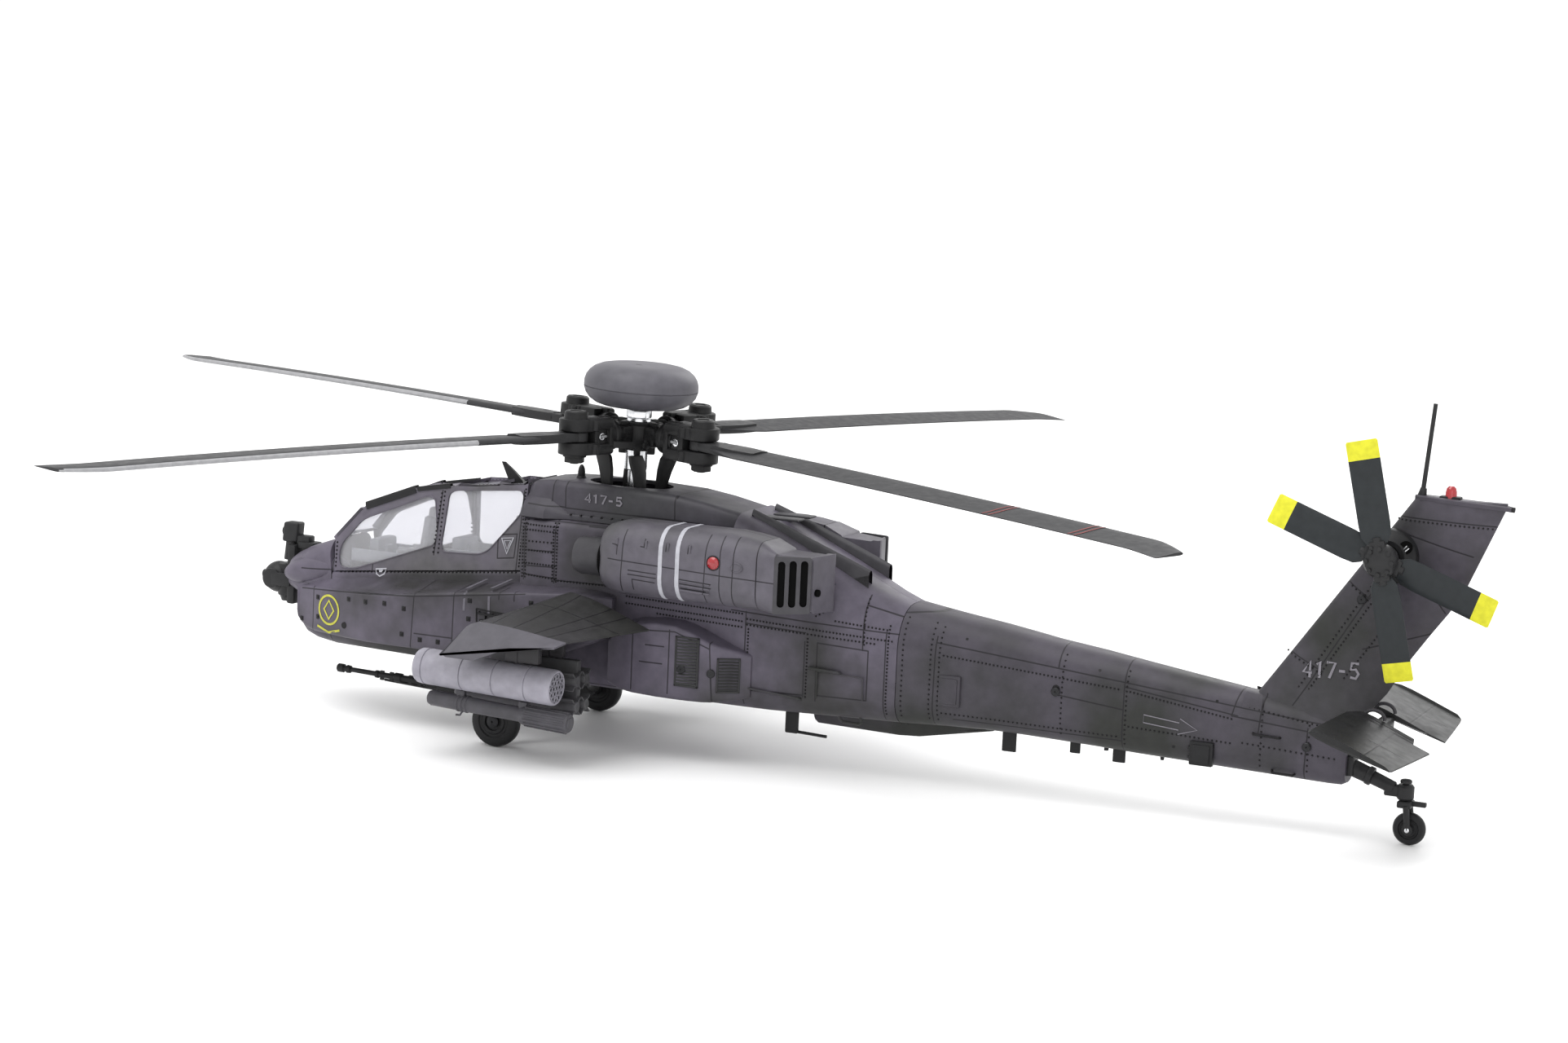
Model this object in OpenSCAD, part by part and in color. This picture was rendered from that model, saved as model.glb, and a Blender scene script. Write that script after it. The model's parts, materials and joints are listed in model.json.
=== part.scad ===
// Remote control attack helicopter, about 1:31 scale. Nose towards -X, tail towards +X,
// left side towards -Y, wheels on z = 0. Lengths are millimetres.
// Positions along X are counted from the rotor mast, which stands at x = mast_x.

/* [Fuselage] */
// Distance of the rotor mast from the part's origin
mast_x = -38.2; // [-60:0.1:-20]
// Half width of the centre fuselage beside the engines
body_half_w = 20; // [18:0.5:24]
// Half width of the cockpit section
cockpit_half_w = 15; // [13:0.5:18]
// Wall of the moulded shells
wall = 1.4; // [1:0.1:2]
// Half width of the forward avionics bays
bay_half_w = 31; // [26:0.5:34]

/* [Main rotor] */
// Radius of the main rotor, to the blade tips
rotor_r = 235.7; // [200:0.1:260]
// Height of the rotor hub's middle
hub_z = 108.9; // [105:0.1:115]
// Lean of the mast towards the tail, in degrees
mast_lean = 2.1; // [0:0.1:4]
// Turn of the first blade from the tail direction, in degrees
rotor_turn = 72.4; // [0:0.1:89]
// Pitch of the blades at rest, in degrees
blade_pitch = 2; // [0:0.5:10]
// Distance of the blade bolts from the mast
bolt_r = 30.8; // [28:0.1:34]
// Blade chord
blade_chord = 17; // [12:0.5:20]
// Sag of a blade tip
blade_sag = 3.1; // [0:0.1:6]
// Diameter of the main shaft
shaft_d = 5; // [3:0.5:6]
// Radius of the radar dome over the rotor
radome_r = 20; // [15:0.5:24]

/* [Tail rotor] */
// Radius of the tail rotor
tail_rotor_r = 38.4; // [30:0.1:42]
// Chord of a tail blade
tail_blade_chord = 10; // [6:0.5:11]
// Turn of the first tail blade pair, in degrees from the tail direction
tail_pair_a = 103; // [90:1:120]
// Angle between the two tail blade pairs, in degrees
scissor_angle = 56.5; // [50:0.5:90]

/* [Landing gear] */
// Diameter of a main wheel
wheel_d = 18; // [14:0.5:22]
// Width of a main wheel
wheel_w = 5; // [4:0.5:7]
// Distance between the outer faces of the main wheels
track = 83; // [70:1:90]
// Diameter of the tail wheel
tail_wheel_d = 10.8; // [9:0.2:13]

/* [Hidden] */
$fn = 32;
gap = 0.15;                       // gap between moulded pieces that lie against each other
nose_x = -137;
split_x = 108;                    // where the fuselage ends and the tail boom starts
tail_x = 259.5;
deck_z = 78;                      // deck under the rotor pylon cover
sill_front = 50;                  // canopy sill height at its front end
sill_slope = 0.104;
canopy_x0 = -113;
canopy_x1 = -36;
wheel_x = -31;
tail_hub = [269, -16.1, 92.8];    // middle of the tail rotor
fin_t = 5.6;                      // thickness of the fin
tail_wheel_x = 280.3;
shaft_r = shaft_d / 2;
fit = 0.03;                       // running clearance on the radius
blade_turns = [0, 90, 180, 270];  // blades a, b, c, d counted from rotor_turn
blade_lags = [1.3, 4.3, -3.3, -1.2];  // small free swing of each blade about its bolt
skin_dark = "#3f3e42";
plastic_black = "#1b1b1d";

function sill(x) = sill_front + sill_slope * (x - canopy_x0);

module on_mast() translate([mast_x, 0, 0]) children();
// Frame of the leaning mast: z counts from the hub's middle along the shaft
module shaft_frame() on_mast() translate([0, 0, hub_z]) rotate([0, mast_lean, 0]) children();
// Frame of one rotor arm: x runs out along the arm
module arm_frame(k) shaft_frame() rotate([0, 0, rotor_turn + blade_turns[k]]) children();
// Frame of one grip at its resting pitch
module grip_frame(k) arm_frame(k) rotate([blade_pitch, 0, 0]) children();

// ---------- lofts ----------
arc_n = 4;                        // segments in each rounded corner
// Quarter arc from angle a to angle a + 90 about [cy, cz]
function arc(cy, cz, r, a) =
    [for (i = [0:arc_n]) [cy + r * cos(a + 90 * i / arc_n), cz + r * sin(a + 90 * i / arc_n)]];
// Half outline of a rounded box, from its bottom middle round the side to its top middle
function half_ring(w, zb, zt, rb, rt) = concat(
    [[0, zb]], arc(w - rb, zb + rb, rb, 270), arc(w - rt, zt - rt, rt, 0), [[0, zt]]);
// Station: [x, half width, bottom, top, bottom radius, top radius]
function outer_ring(s) = [for (p = half_ring(s[1], s[2], s[3], s[4], s[5])) [s[0], p[0], p[1]]];
function inner_ring(s) = [for (p = half_ring(s[1] - wall, s[2] + wall, s[3] - wall,
    max(s[4] - wall, 0.8), max(s[5] - wall, 0.8))) [s[0], p[0], p[1]]];
function flat(l) = [for (a = l) for (b = a) b];
// Both triangles of a quad
function quad(a, b, c, d) = [[a, b, c], [a, c, d]];
// Six times the volume inside the triangles, negative where they are wound clockwise
function winding(p, faces) = [for (f = faces) p[f[0]] * cross(p[f[1]], p[f[2]])] *
    [for (f = faces) 1];
// Closed solid from triangles of one winding, turned to face outwards
module solid(points, faces) polyhedron(points, winding(points, faces) > 0
    ? [for (f = faces) [f[2], f[1], f[0]]] : faces, convexity = 6);

// Half of a hollow shell, open along y = 0 and at both ends
module half_shell(stations) {
    n = len(outer_ring(stations[0]));
    m = len(stations);
    points = flat([for (s = stations) concat(outer_ring(s), inner_ring(s))]);
    faces = concat(
        flat([for (i = [0:m - 2], j = [0:n - 2]) let (a = i * 2 * n + j, b = a + 2 * n)
            concat(quad(a, a + 1, b + 1, b), quad(a + n + 1, a + n, b + n, b + n + 1))]),
        flat([for (i = [0:m - 2]) let (a = i * 2 * n, b = a + 2 * n)
            concat(quad(a, b, b + n, a + n),
                quad(a + n - 1, a + 2 * n - 1, b + 2 * n - 1, b + n - 1))]),
        flat([for (j = [0:n - 2]) let (e = (m - 1) * 2 * n + j)
            concat(quad(j, j + n, j + n + 1, j + 1), quad(e, e + 1, e + n + 1, e + n))]));
    translate([0, gap / 3, 0]) solid(points, faces);
}

// Solid loft through closed rings of equal length
module loft(rings) {
    n = len(rings[0]);
    m = len(rings);
    faces = concat(
        flat([for (i = [0:m - 2], j = [0:n - 1]) let (a = i * n + j, c = i * n + (j + 1) % n)
            quad(a, c, c + n, a + n)]),
        [for (j = [1:n - 2]) [0, j + 1, j]],
        [for (j = [1:n - 2]) [(m - 1) * n, (m - 1) * n + j, (m - 1) * n + j + 1]]);
    solid(flat(rings), faces);
}
// Closed ring of a box section: y from y0 to y1, z from z0 to z1, corners cut by c
function cut_box(x, y0, y1, z0, z1, c) = [
    [x, y0, z0], [x, y1 - c, z0], [x, y1, z0 + c], [x, y1, z1 - c], [x, y1 - c, z1], [x, y0, z1]];

// ---------- fuselage ----------
// Cockpit section with the nose, then the full-height section, then the hump behind the mast
body_stations = [
    [nose_x, 6.5, 27, 42, 3, 3], [-133, 9.5, 25, 49, 4, 5], [-126, 12, 24, 56, 5, 6],
    [-115, 14, 23.2, 61, 6, 6], [-113.5, cockpit_half_w, 23, sill_front, 6, 1.6],
    [-75, cockpit_half_w, 21.8, sill(-75), 6, 1.6],
    [canopy_x1 - 0.5, cockpit_half_w, 21, sill(canopy_x1 - 0.5), 6, 1.6],
    [canopy_x1 + 1, body_half_w - 2, 21, deck_z, 6, 4], [-30, body_half_w, 20.8, deck_z, 6, 4],
    [46.5, body_half_w, 20, deck_z, 6, 4], [47.5, body_half_w, 20, 85.5, 6, 9],
    [60, body_half_w, 20, 80.5, 6, 10], [75, 19.6, 20.2, 74, 7, 11], [93, 18.3, 20.3, 66.5, 8, 13],
    [split_x, 17, 20.3, 60.5, 9, 14]];
boom_stations = [
    [split_x + 0.2, 17, 20.3, 60.5, 9, 14], [124, 15.2, 20.8, 58.3, 9, 13],
    [140, 13.8, 21, 56.3, 9, 12], [159, 12.4, 20.5, 53.4, 8.5, 11], [190, 10.4, 19.2, 49.4, 7.5, 9.5],
    [226, 8.4, 18, 44.5, 6.5, 7.5], [245, 7.2, 17.4, 41.5, 5.5, 6.5], [tail_x, 6, 17, 37, 4.5, 5]];
// Side outline of the fin; its lower edge is sunk in the boom's top wall
fin_outline = [[226.6, 43.6], [275.5, 112.6], [304, 111.3], [291.5, 81], [278, 62], [266, 41],
    [262, 36.3], [258, 36.2], [245, 40.6]];

module fuselage_half() on_mast() difference() {
    half_shell(body_stations);
    // opening in the deck for the shaft and the push rods
    translate([0, 0, deck_z - 5]) cylinder(r = 11, h = 10);
    translate([-20, -8.5, deck_z - 5]) cube([18, 17, 10]);
}
module tail_boom_half() on_mast() difference() {
    union() {
        half_shell(boom_stations);
        translate([0, gap / 3, 0]) rotate([90, 0, 180]) mirror([1, 0, 0])
            linear_extrude(fin_t / 2) polygon(fin_outline);
        translate([tail_hub[0], gap / 3, tail_hub[2]]) rotate([-90, 0, 0])
            cylinder(r = 8.2, h = 6.5);
    }
    translate([tail_hub[0], -1, tail_hub[2]]) rotate([-90, 0, 0]) cylinder(r = 5.6, h = 6);
    translate([tail_hub[0], -1, tail_hub[2]]) rotate([-90, 0, 0]) cylinder(r = 1.8, h = 12);
}
module fuselage_left() color(skin_dark) mirror([0, 1, 0]) fuselage_half();
module fuselage_right() color(skin_dark) fuselage_half();
module tail_boom_left() color(skin_dark) mirror([0, 1, 0]) tail_boom_half();
module tail_boom_right() color(skin_dark) tail_boom_half();

// Sensor ball and night sensor on the nose, moulded on one bracket
module nose_sensor_turret() color(plastic_black) on_mast() {
    translate([-145.1, 0, 43]) sphere(r = 5.8);
    translate([-141, 0, 36.5]) cylinder(r = 4, h = 12);
    translate([nose_x - 2.2, -3.4, 33]) cube([2, 6.8, 25]);
    translate([-143, -2.6, 57]) cube([8, 5.2, 7]);
    translate([-140, 0, 50]) cylinder(r = 2.4, h = 8);
}

// ---------- canopy ----------
// Side outline in x and z, and the half width at each corner
canopy_outline = [[canopy_x0 + 0.5, sill_front + 0.2, 14.6], [-113.5, 61.5, 13.2],
    [-102.5, 74, 11.6], [-81, 82.4, 10.6], [-66, 85, 10.6], [canopy_x1 - 0.8, 88.6, 10.8],
    [canopy_x1 - 0.8, sill(canopy_x1) + 0.2, 14.6]];
function shrink(p, c, d) = let (v = c - p) p + v * d / norm(v);
// Closed tent through the outline moved in by d towards the cockpit's middle
module canopy_tent(d) {
    n = len(canopy_outline);
    side = [for (p = canopy_outline) let (q = shrink([p[0], p[1]], [-74, sill(-74) + 8], d))
        [q[0], p[2] - d, q[1]]];
    points = concat(side, [for (p = side) [p[0], -p[1], p[2]]]);
    faces = concat([for (i = [1:n - 2]) [0, i, i + 1]], [for (i = [1:n - 2]) [n, n + i + 1, n + i]],
        flat([for (i = [0:n - 1]) let (j = (i + 1) % n) quad(j, i, n + i, n + j)]));
    solid(points, faces);
}
module window(points) rotate([90, 0, 0]) linear_extrude(40, center = true) polygon(points);
front_window = [[-110.5, 52.8], [-105, 53], [-73.5, 65.5], [-74.5, 79.5], [-102, 69.5], [-110.8, 61]];
rear_window = [[-69.5, 61.5], [-53, 63], [-37.8, 80.5], [-38.5, 84.5], [-68, 82.5]];
module windows() {
    window(front_window);
    window(rear_window);
    // windscreen and roof panes
    translate([-110.5, -8, 60.5]) rotate([0, -49, 0]) cube([13, 16, 12]);
    translate([-99, -7.5, 70]) rotate([0, -21, 0]) cube([17, 15, 12]);
    translate([-63, -7.5, 76]) cube([22, 15, 16]);
}
// Lower side of the canopy, cut along the sloping sill
module canopy_frame() color(skin_dark) on_mast() difference() {
    canopy_tent(0);
    canopy_tent(1.3);
    translate([-74, 0, sill(-74)]) rotate([0, -atan(sill_slope), 0])
        cube([76, 24, 3], center = true);
    windows();
}
module canopy_glass() color("#b9c0c6", 0.4) on_mast() intersection() {
    difference() {
        canopy_tent(0.35);
        canopy_tent(0.95);
    }
    windows();
}
module seat(x, z) translate([x, -6, z]) {
    cube([9, 12, 2.5]);
    translate([8, 0, 0]) cube([2.5, 12, 17]);
    translate([8, 3, 17]) cube([2.5, 6, 3.5]);
}
module cockpit_tub() color("#6d6f72") on_mast() {
    for (part_x = [[-108, 34], [-70, 32]])
        translate([part_x[0], -11, sill(part_x[0] + part_x[1]) + 0.1]) cube([part_x[1], 22, 1.5]);
    seat(-92, sill(-74) + 1.6);
    seat(-55, sill(-38) + 1.6);
    translate([-103, -7, sill(-74) + 1.6]) cube([3, 14, 6]);
    translate([-69, -7, sill(-38) + 1.6]) cube([3, 14, 9]);
}

// ---------- side bays ----------
bay_in = cockpit_half_w + gap;
bay_wide_in = body_half_w + gap;
// One forward bay runs from the nose to the wing, its floor rises with its outer wall
module avionics_bay() on_mast() {
    loft([cut_box(-124, 14.4, 15, 30, 43, 0.3), cut_box(-112, bay_in, 20, 28, 46, 1.5),
        cut_box(-92, bay_in, 27, 28, 47.5, 2), cut_box(-72, bay_in, bay_half_w - 1, 27.5, 49, 2),
        cut_box(-52, bay_in, bay_half_w, 27.5, 52.5, 2),
        cut_box(-36.6, bay_in, bay_half_w, 27.5, 54.5, 2)]);
    loft([cut_box(-29.9, bay_wide_in, bay_half_w, 28, 55, 2),
        cut_box(-20, bay_wide_in, bay_half_w, 29, 55.5, 2),
        cut_box(-4, bay_wide_in, bay_half_w - 4, 36, 55.5, 2),
        cut_box(4, bay_wide_in, body_half_w + 2, 40, 54, 0.5)]);
    translate([-37, body_half_w + 0.3, 29]) cube([7.5, bay_half_w - body_half_w - 1, 24]);
    // rear bay with its louvred face
    loft([cut_box(4.6, bay_wide_in, 26, 24, 39, 1), cut_box(16, bay_wide_in, 28.5, 22.4, 47, 2),
        cut_box(32, bay_wide_in, 28.5, 22, 48.6, 2), cut_box(45, bay_wide_in, 28, 22.4, 43.5, 2),
        cut_box(57, bay_wide_in, 21.4, 24, 39.5, 0.5)]);
}
module avionics_bay_left() color(skin_dark) mirror([0, 1, 0]) avionics_bay();
module avionics_bay_right() color(skin_dark) avionics_bay();

// Cover over the gearbox, open round the shaft and hollow underneath
module cover_ring(d, bottom) loft([for (s = [[-41.5 + d, 9, 84], [-37 + d, 12.5, 89],
    [-24, 14.8, 91], [4, 15.2, 91], [30, 14.6, 90], [46.3 - d, 13.4, 86]])
    [[s[0], -s[1] + d, bottom], [s[0], s[1] - d, bottom], [s[0], s[1] - d, s[2] - 3 - d],
     [s[0], s[1] - 3 - d / 2, s[2] - d], [s[0], -s[1] + 3 + d / 2, s[2] - d],
     [s[0], -s[1] + d, s[2] - 3 - d]]]);
module rotor_pylon_cover() color(skin_dark) on_mast() difference() {
    intersection() {
        cover_ring(0, deck_z + gap);
        translate([-35.4, -30, deck_z]) cube([90, 60, 20]);
    }
    cover_ring(1.3, deck_z - 1);
    translate([0, 0, deck_z + 4]) linear_extrude(20) {
        circle(r = 11.6);
        translate([-10, 0]) circle(r = 9);
        translate([-10, -9]) square([10, 18]);
    }
}

// ---------- engines ----------
module engine_cowl() on_mast() {
    difference() {
        loft([cut_box(4, bay_wide_in, 34.5, 58.5, 79.5, 5), cut_box(12, bay_wide_in, 38, 57, 82, 6),
            cut_box(52, bay_wide_in, 38, 57, 82, 6), cut_box(64, bay_wide_in, 37, 57, 80.5, 6)]);
        translate([3, 28, 68.5]) rotate([0, 90, 0]) cylinder(r = 7, h = 5);
        translate([20, 22, 60]) cube([36, 12, 18]);
    }
    // foam plug in the intake
    translate([8, 28, 68.5]) rotate([0, -90, 0]) cylinder(r = 6.8, h = 15);
}
module engine_cowl_left() color(skin_dark) mirror([0, 1, 0]) engine_cowl();
module engine_cowl_right() color(skin_dark) engine_cowl();
module exhaust() on_mast() difference() {
    loft([cut_box(64.2, bay_wide_in, 37, 57, 80.5, 6), cut_box(73, bay_wide_in, 36, 57, 79.5, 5),
        cut_box(84, bay_wide_in, 29, 57, 77.5, 3)]);
    for (i = [0:2]) translate([68.6 + 4.4 * i, 26, 60]) cube([2.4, 14, 15.5]);
}
module exhaust_left() color(skin_dark) mirror([0, 1, 0]) exhaust();
module exhaust_right() color(skin_dark) exhaust();

// ---------- wings and stores ----------
// Wing section at y: leading edge from low to high at x0, crest, and a thin trailing edge
function wing_ring(y, x0, low, high, crest_x, crest_z, x1, z1) = [
    [x0, y, low], [crest_x + 6, y, low - 0.4], [x1, y, z1 - 0.7], [x1, y, z1],
    [crest_x, y, crest_z], [x0, y, high]];
pod_y = 62;
pod_z = 28.2;
pod_r = 6.1;
module stub_wing() on_mast() {
    // root, tip, and the lower outer edge of the slanted tip face
    loft([wing_ring(bay_half_w + 0.3, -20, 41, 51, -8, 55.2, 22.5, 45.8),
        wing_ring(66, -29.5, 38.2, 47.2, -21, 48.2, 9, 44.6),
        wing_ring(76, -33.5, 36.8, 38, -22, 39.4, 10, 44.4)]);
    // pylons that the stores hang from
    translate([-15.5, pod_y - 1.5, pod_z + pod_r + gap]) cube([13, 3, 5.5]);
    translate([-24, 44, 35.2]) cube([22, 3, 6.8]);
}
module stub_wing_left() color(skin_dark) mirror([0, 1, 0]) stub_wing();
module stub_wing_right() color(skin_dark) stub_wing();
module rocket_pod() on_mast() translate([0, pod_y, pod_z]) rotate([0, 90, 0]) difference() {
    union() {
        translate([0, 0, -49]) cylinder(r = pod_r, h = 53);
        for (z = [-45.3, -30.4, -18, -5.6]) translate([0, 0, z]) cylinder(r = pod_r + 0.3, h = 0.6);
    }
    // rings of tubes in the rear face
    for (ring = [0:2], a = [0:60 / max(ring, 1):359]) if (ring > 0 || a == 0)
        rotate([0, 0, a]) translate([2.2 * ring, 0, 1]) cylinder(r = 0.8, h = 5, $fn = 16);
}
module rocket_pod_left() color("#77747d") mirror([0, 1, 0]) rocket_pod();
module rocket_pod_right() color("#77747d") rocket_pod();
module missile(x, y, z) translate([x, y, z]) rotate([0, 90, 0]) {
    cylinder(r = 2.2, h = 46);
    sphere(r = 2.2);
    for (a = [45, 135]) rotate([0, 0, a]) translate([-4.2, -0.4, 36]) cube([8.4, 0.8, 10]);
}
module missile_rack() on_mast() {
    // canister under the rocket pod
    translate([-44, pod_y, 17.4]) rotate([0, 90, 0]) cylinder(r = 2.3, h = 40);
    translate([-5, pod_y, 16.4]) rotate([0, 90, 0]) cylinder(r = 3.5, h = 16, $fn = 8);
    for (x = [-36, -12]) translate([x, pod_y - 1, 18.6]) cube([3, 2, 3.4]);
    // four missiles round the inner launcher rail
    for (dy = [-3.5, 3.5], z = [20.5, 29.5]) missile(-40, 45.5 + dy, z);
    translate([-30, 44, 17]) cube([34, 3, 18]);
}
module missile_rack_left() color("#6f6d76") mirror([0, 1, 0]) missile_rack();
module missile_rack_right() color("#6f6d76") missile_rack();
module chain_gun() color(plastic_black) on_mast() {
    translate([-119, 0, 12.2]) rotate([0, 92, 0]) cylinder(r = 1, h = 48);
    translate([-121, 0, 12.3]) rotate([0, 92, 0]) cylinder(r = 1.5, h = 6);
    translate([-74, -2.5, 8]) cube([16, 5, 6]);
    translate([-72, -4, 14]) cube([3, 8, 7.2]);
    translate([-63, -4, 14]) cube([3, 8, 6.6]);
}

// ---------- landing gear ----------
wheel_y = track / 2 - wheel_w / 2;
axle_d = 3;
module gear_leg() on_mast() {
    hull() {
        translate([-20, body_half_w - 6, 18.5]) sphere(r = 2, $fn = 16);
        translate([wheel_x, wheel_y - wheel_w / 2 - 3, wheel_d / 2]) sphere(r = 2.4, $fn = 16);
    }
    translate([-24, body_half_w - 8, 18]) cube([9, 6, 2.5]);
    translate([wheel_x, wheel_y - wheel_w / 2 - 3, wheel_d / 2]) rotate([-90, 0, 0])
        cylinder(d = axle_d, h = wheel_w + 3.2);
    // axle screw head
    translate([wheel_x, track / 2 + 0.2, wheel_d / 2]) rotate([-90, 0, 0]) cylinder(r = 2.3, h = 0.9);
}
module gear_leg_left() color(plastic_black) mirror([0, 1, 0]) gear_leg();
module gear_leg_right() color(plastic_black) gear_leg();
module wheel(d, w, bore) rotate([90, 0, 0]) rotate_extrude() polygon([
    [bore / 2, -w / 2], [d * 0.3, -w / 2], [d * 0.32, -w / 2 + 0.5], [d / 2 - 1.2, -w / 2],
    [d / 2, -w / 2 + 1.3], [d / 2, w / 2 - 1.3], [d / 2 - 1.2, w / 2], [d * 0.32, w / 2 - 0.5],
    [d * 0.3, w / 2], [bore / 2, w / 2]]);
module main_wheel(side) color("#202022") on_mast()
    translate([wheel_x, side * wheel_y, wheel_d / 2]) wheel(wheel_d, wheel_w, axle_d + 2 * fit);
module main_wheel_left() main_wheel(-1);
module main_wheel_right() main_wheel(1);
swivel_x = tail_wheel_x - 2;
module tail_gear_arm() color(plastic_black) on_mast() difference() {
    union() {
        hull() {
            translate([tail_x - 0.5, 0, 23.5]) rotate([90, 0, 0]) cylinder(r = 2.6, h = 5, center = true);
            translate([swivel_x - 5, 0, 17.5]) rotate([90, 0, 0]) cylinder(r = 2, h = 4, center = true);
        }
        translate([swivel_x, 0, 14.6]) cylinder(r = 2.6, h = 5);
        translate([swivel_x - 6, -1.5, 15.4]) cube([5, 3, 3.6]);
    }
    translate([swivel_x, 0, 10]) cylinder(d = 2 + 2 * fit, h = 14);
}
module tail_fork() color(plastic_black) on_mast() {
    translate([swivel_x, 0, 12.2]) cylinder(d = 2, h = 8.4);
    translate([swivel_x, 0, 20.1]) cylinder(r = 1.9, h = 1);
    translate([swivel_x - 2, -3.2, 12]) cube([4.6, 6.4, 2.2]);
    for (y = [-3.2, 2.2]) hull() {
        translate([swivel_x, y, 12.4]) cube([2, 1, 1]);
        translate([tail_wheel_x, y, tail_wheel_d / 2]) rotate([-90, 0, 0]) cylinder(r = 1.6, h = 1);
    }
    translate([tail_wheel_x, -3.6, tail_wheel_d / 2]) rotate([-90, 0, 0]) cylinder(d = 1.6, h = 7.2);
}
module tail_wheel() color("#202022") on_mast() translate([tail_wheel_x, 0, tail_wheel_d / 2])
    wheel(tail_wheel_d, 3.4, 1.6 + 2 * fit);

// Two flat halves joined by a spar behind the foot of the fin
module stabilator() color(skin_dark) on_mast() {
    for (side = [-1, 1]) mirror([0, (1 - side) / 2, 0])
        loft([for (s = [[7.2, 259.5, 287.5], [50, 257.5, 284]])
            [[s[1], s[0], 42.4], [s[1] + 6, s[0], 39.4], [s[2], s[0], 32.3], [s[2], s[0], 32.9],
             [s[1] + 7, s[0], 42.6], [s[1] + 1, s[0], 43.4]]]);
    translate([267, -7.5, 34.5]) cube([4.5, 15, 4.5]);
}

// ---------- inside the body ----------
gear_z = -48;                     // gears, counted from the hub's middle along the shaft
gear_w = 3;
tooth_size = 0.8;                 // module of the gears
main_teeth = 40;
pinion_teeth = 8;
motor_x = tooth_size * (main_teeth + pinion_teeth) / 2;
plate_low = -82;
plate_high = -41;
module chassis_plate(z) difference() {
    translate([-21, -16.5, z]) cube([52, 33, 3]);
    translate([0, 0, z - 1]) cylinder(r = 4.52, h = 5);
}
module chassis_frame() color("#3a3c40") shaft_frame() difference() {
    union() {
        chassis_plate(plate_low);
        chassis_plate(plate_high);
        for (x = [-18, 28], y = [-13.5, 13.5]) translate([x, y, plate_low - 3])
            cylinder(r = 2, h = plate_high - plate_low + 4);
    }
    translate([-22, -8, plate_high - 1]) cube([11, 16, 5]);
}
module shaft_bearings() color("silver") shaft_frame() for (z = [plate_low, plate_high])
    translate([0, 0, z]) difference() {
        cylinder(r = 4.5, h = 3);
        translate([0, 0, -1]) cylinder(r = shaft_r + fit, h = 5);
    }
module battery_pack() color("#3c5f8a") on_mast() translate([-104, -10.5, 25.5]) cube([52, 21, 15]);
module circuit_board() color("#1f6a3c") on_mast() {
    translate([52, -15, 27]) cube([30, 30, 1.6]);
    translate([56, -8, 28.6]) cube([9, 9, 1.6]);
    translate([70, 0, 28.6]) cube([6, 10, 5]);
    for (y = [-13, 11]) translate([54, y, 22]) cube([4, 3, 5]);
}
// Ring of slim straight-sided teeth
module gear(teeth, turn) {
    pitch_r = tooth_size * teeth / 2;
    root_r = pitch_r - 0.85;
    rotate([0, 0, turn]) linear_extrude(gear_w) union() {
        circle(r = root_r, $fn = 64);
        for (i = [0:teeth - 1]) rotate([0, 0, 360 * i / teeth]) polygon([
            [root_r - 0.3, -0.62], [pitch_r, -0.42], [pitch_r + 0.6, -0.2], [pitch_r + 0.6, 0.2],
            [pitch_r, 0.42], [root_r - 0.3, 0.62]]);
    }
}
module main_gear() color("#e9e6dc") shaft_frame() translate([0, 0, gear_z]) difference() {
    union() {
        gear(main_teeth, 0);
        translate([0, 0, -2]) cylinder(r = 5, h = 2 + gear_w);
    }
    translate([0, 0, -3]) cylinder(r = shaft_r + 0.02, h = gear_w + 5);
    for (a = [0:60:300]) rotate([0, 0, a]) translate([10, 0, -1]) cylinder(r = 3, h = gear_w + 2);
}
module motor_pinion() color("#d9b45a") shaft_frame() translate([motor_x, 0, gear_z]) {
    gear(pinion_teeth, 180 / pinion_teeth);
    translate([0, 0, -9]) cylinder(r = 1, h = 9.5);
}
module main_motor() color("#8d8f94") shaft_frame() translate([motor_x, 0, plate_low + 3]) difference() {
    union() {
        cylinder(r = 8.5, h = 25);
        translate([0, 0, 25]) cylinder(r = 3, h = 1.4);
    }
    translate([0, 0, 20]) cylinder(r = 1 + fit, h = 10);
}
module main_shaft() color("#d5d7da") shaft_frame() translate([0, 0, plate_low - 0.5])
    cylinder(r = shaft_r, h = 3.6 - plate_low);
horn_x = -26;
horn_l = 12;
horn_z = -38;
rod_y = 6;
module swash_servos() color("#2b3f66") shaft_frame() for (y = [-14.5, 4.5]) {
    translate([horn_x - 4, y, horn_z - 21]) cube([9, 10, 15]);
    translate([horn_x - 2, y + 1.5, horn_z - 6]) cube([4.5, 7, 2.6]);
}
module servo_horns() color("#f2f2f0") shaft_frame() translate([horn_x, 0, horn_z]) {
    for (y = [-rod_y - 0.75, rod_y - 0.75]) translate([0, y, 0]) rotate([-90, 0, 0]) {
        cylinder(r = 2.4, h = 1.5);
        translate([0, -1, 0]) cube([horn_l, 2, 1.5]);
        translate([horn_l, 0, 0]) cylinder(r = 1.3, h = 1.5);
    }
    rotate([-90, 0, 0]) cylinder(r = 0.9, h = 2 * rod_y, center = true);
}
swash_z = -26.5;
swash_r = 8.5;
link_x = 5;
link_y = 8.12;
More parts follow.
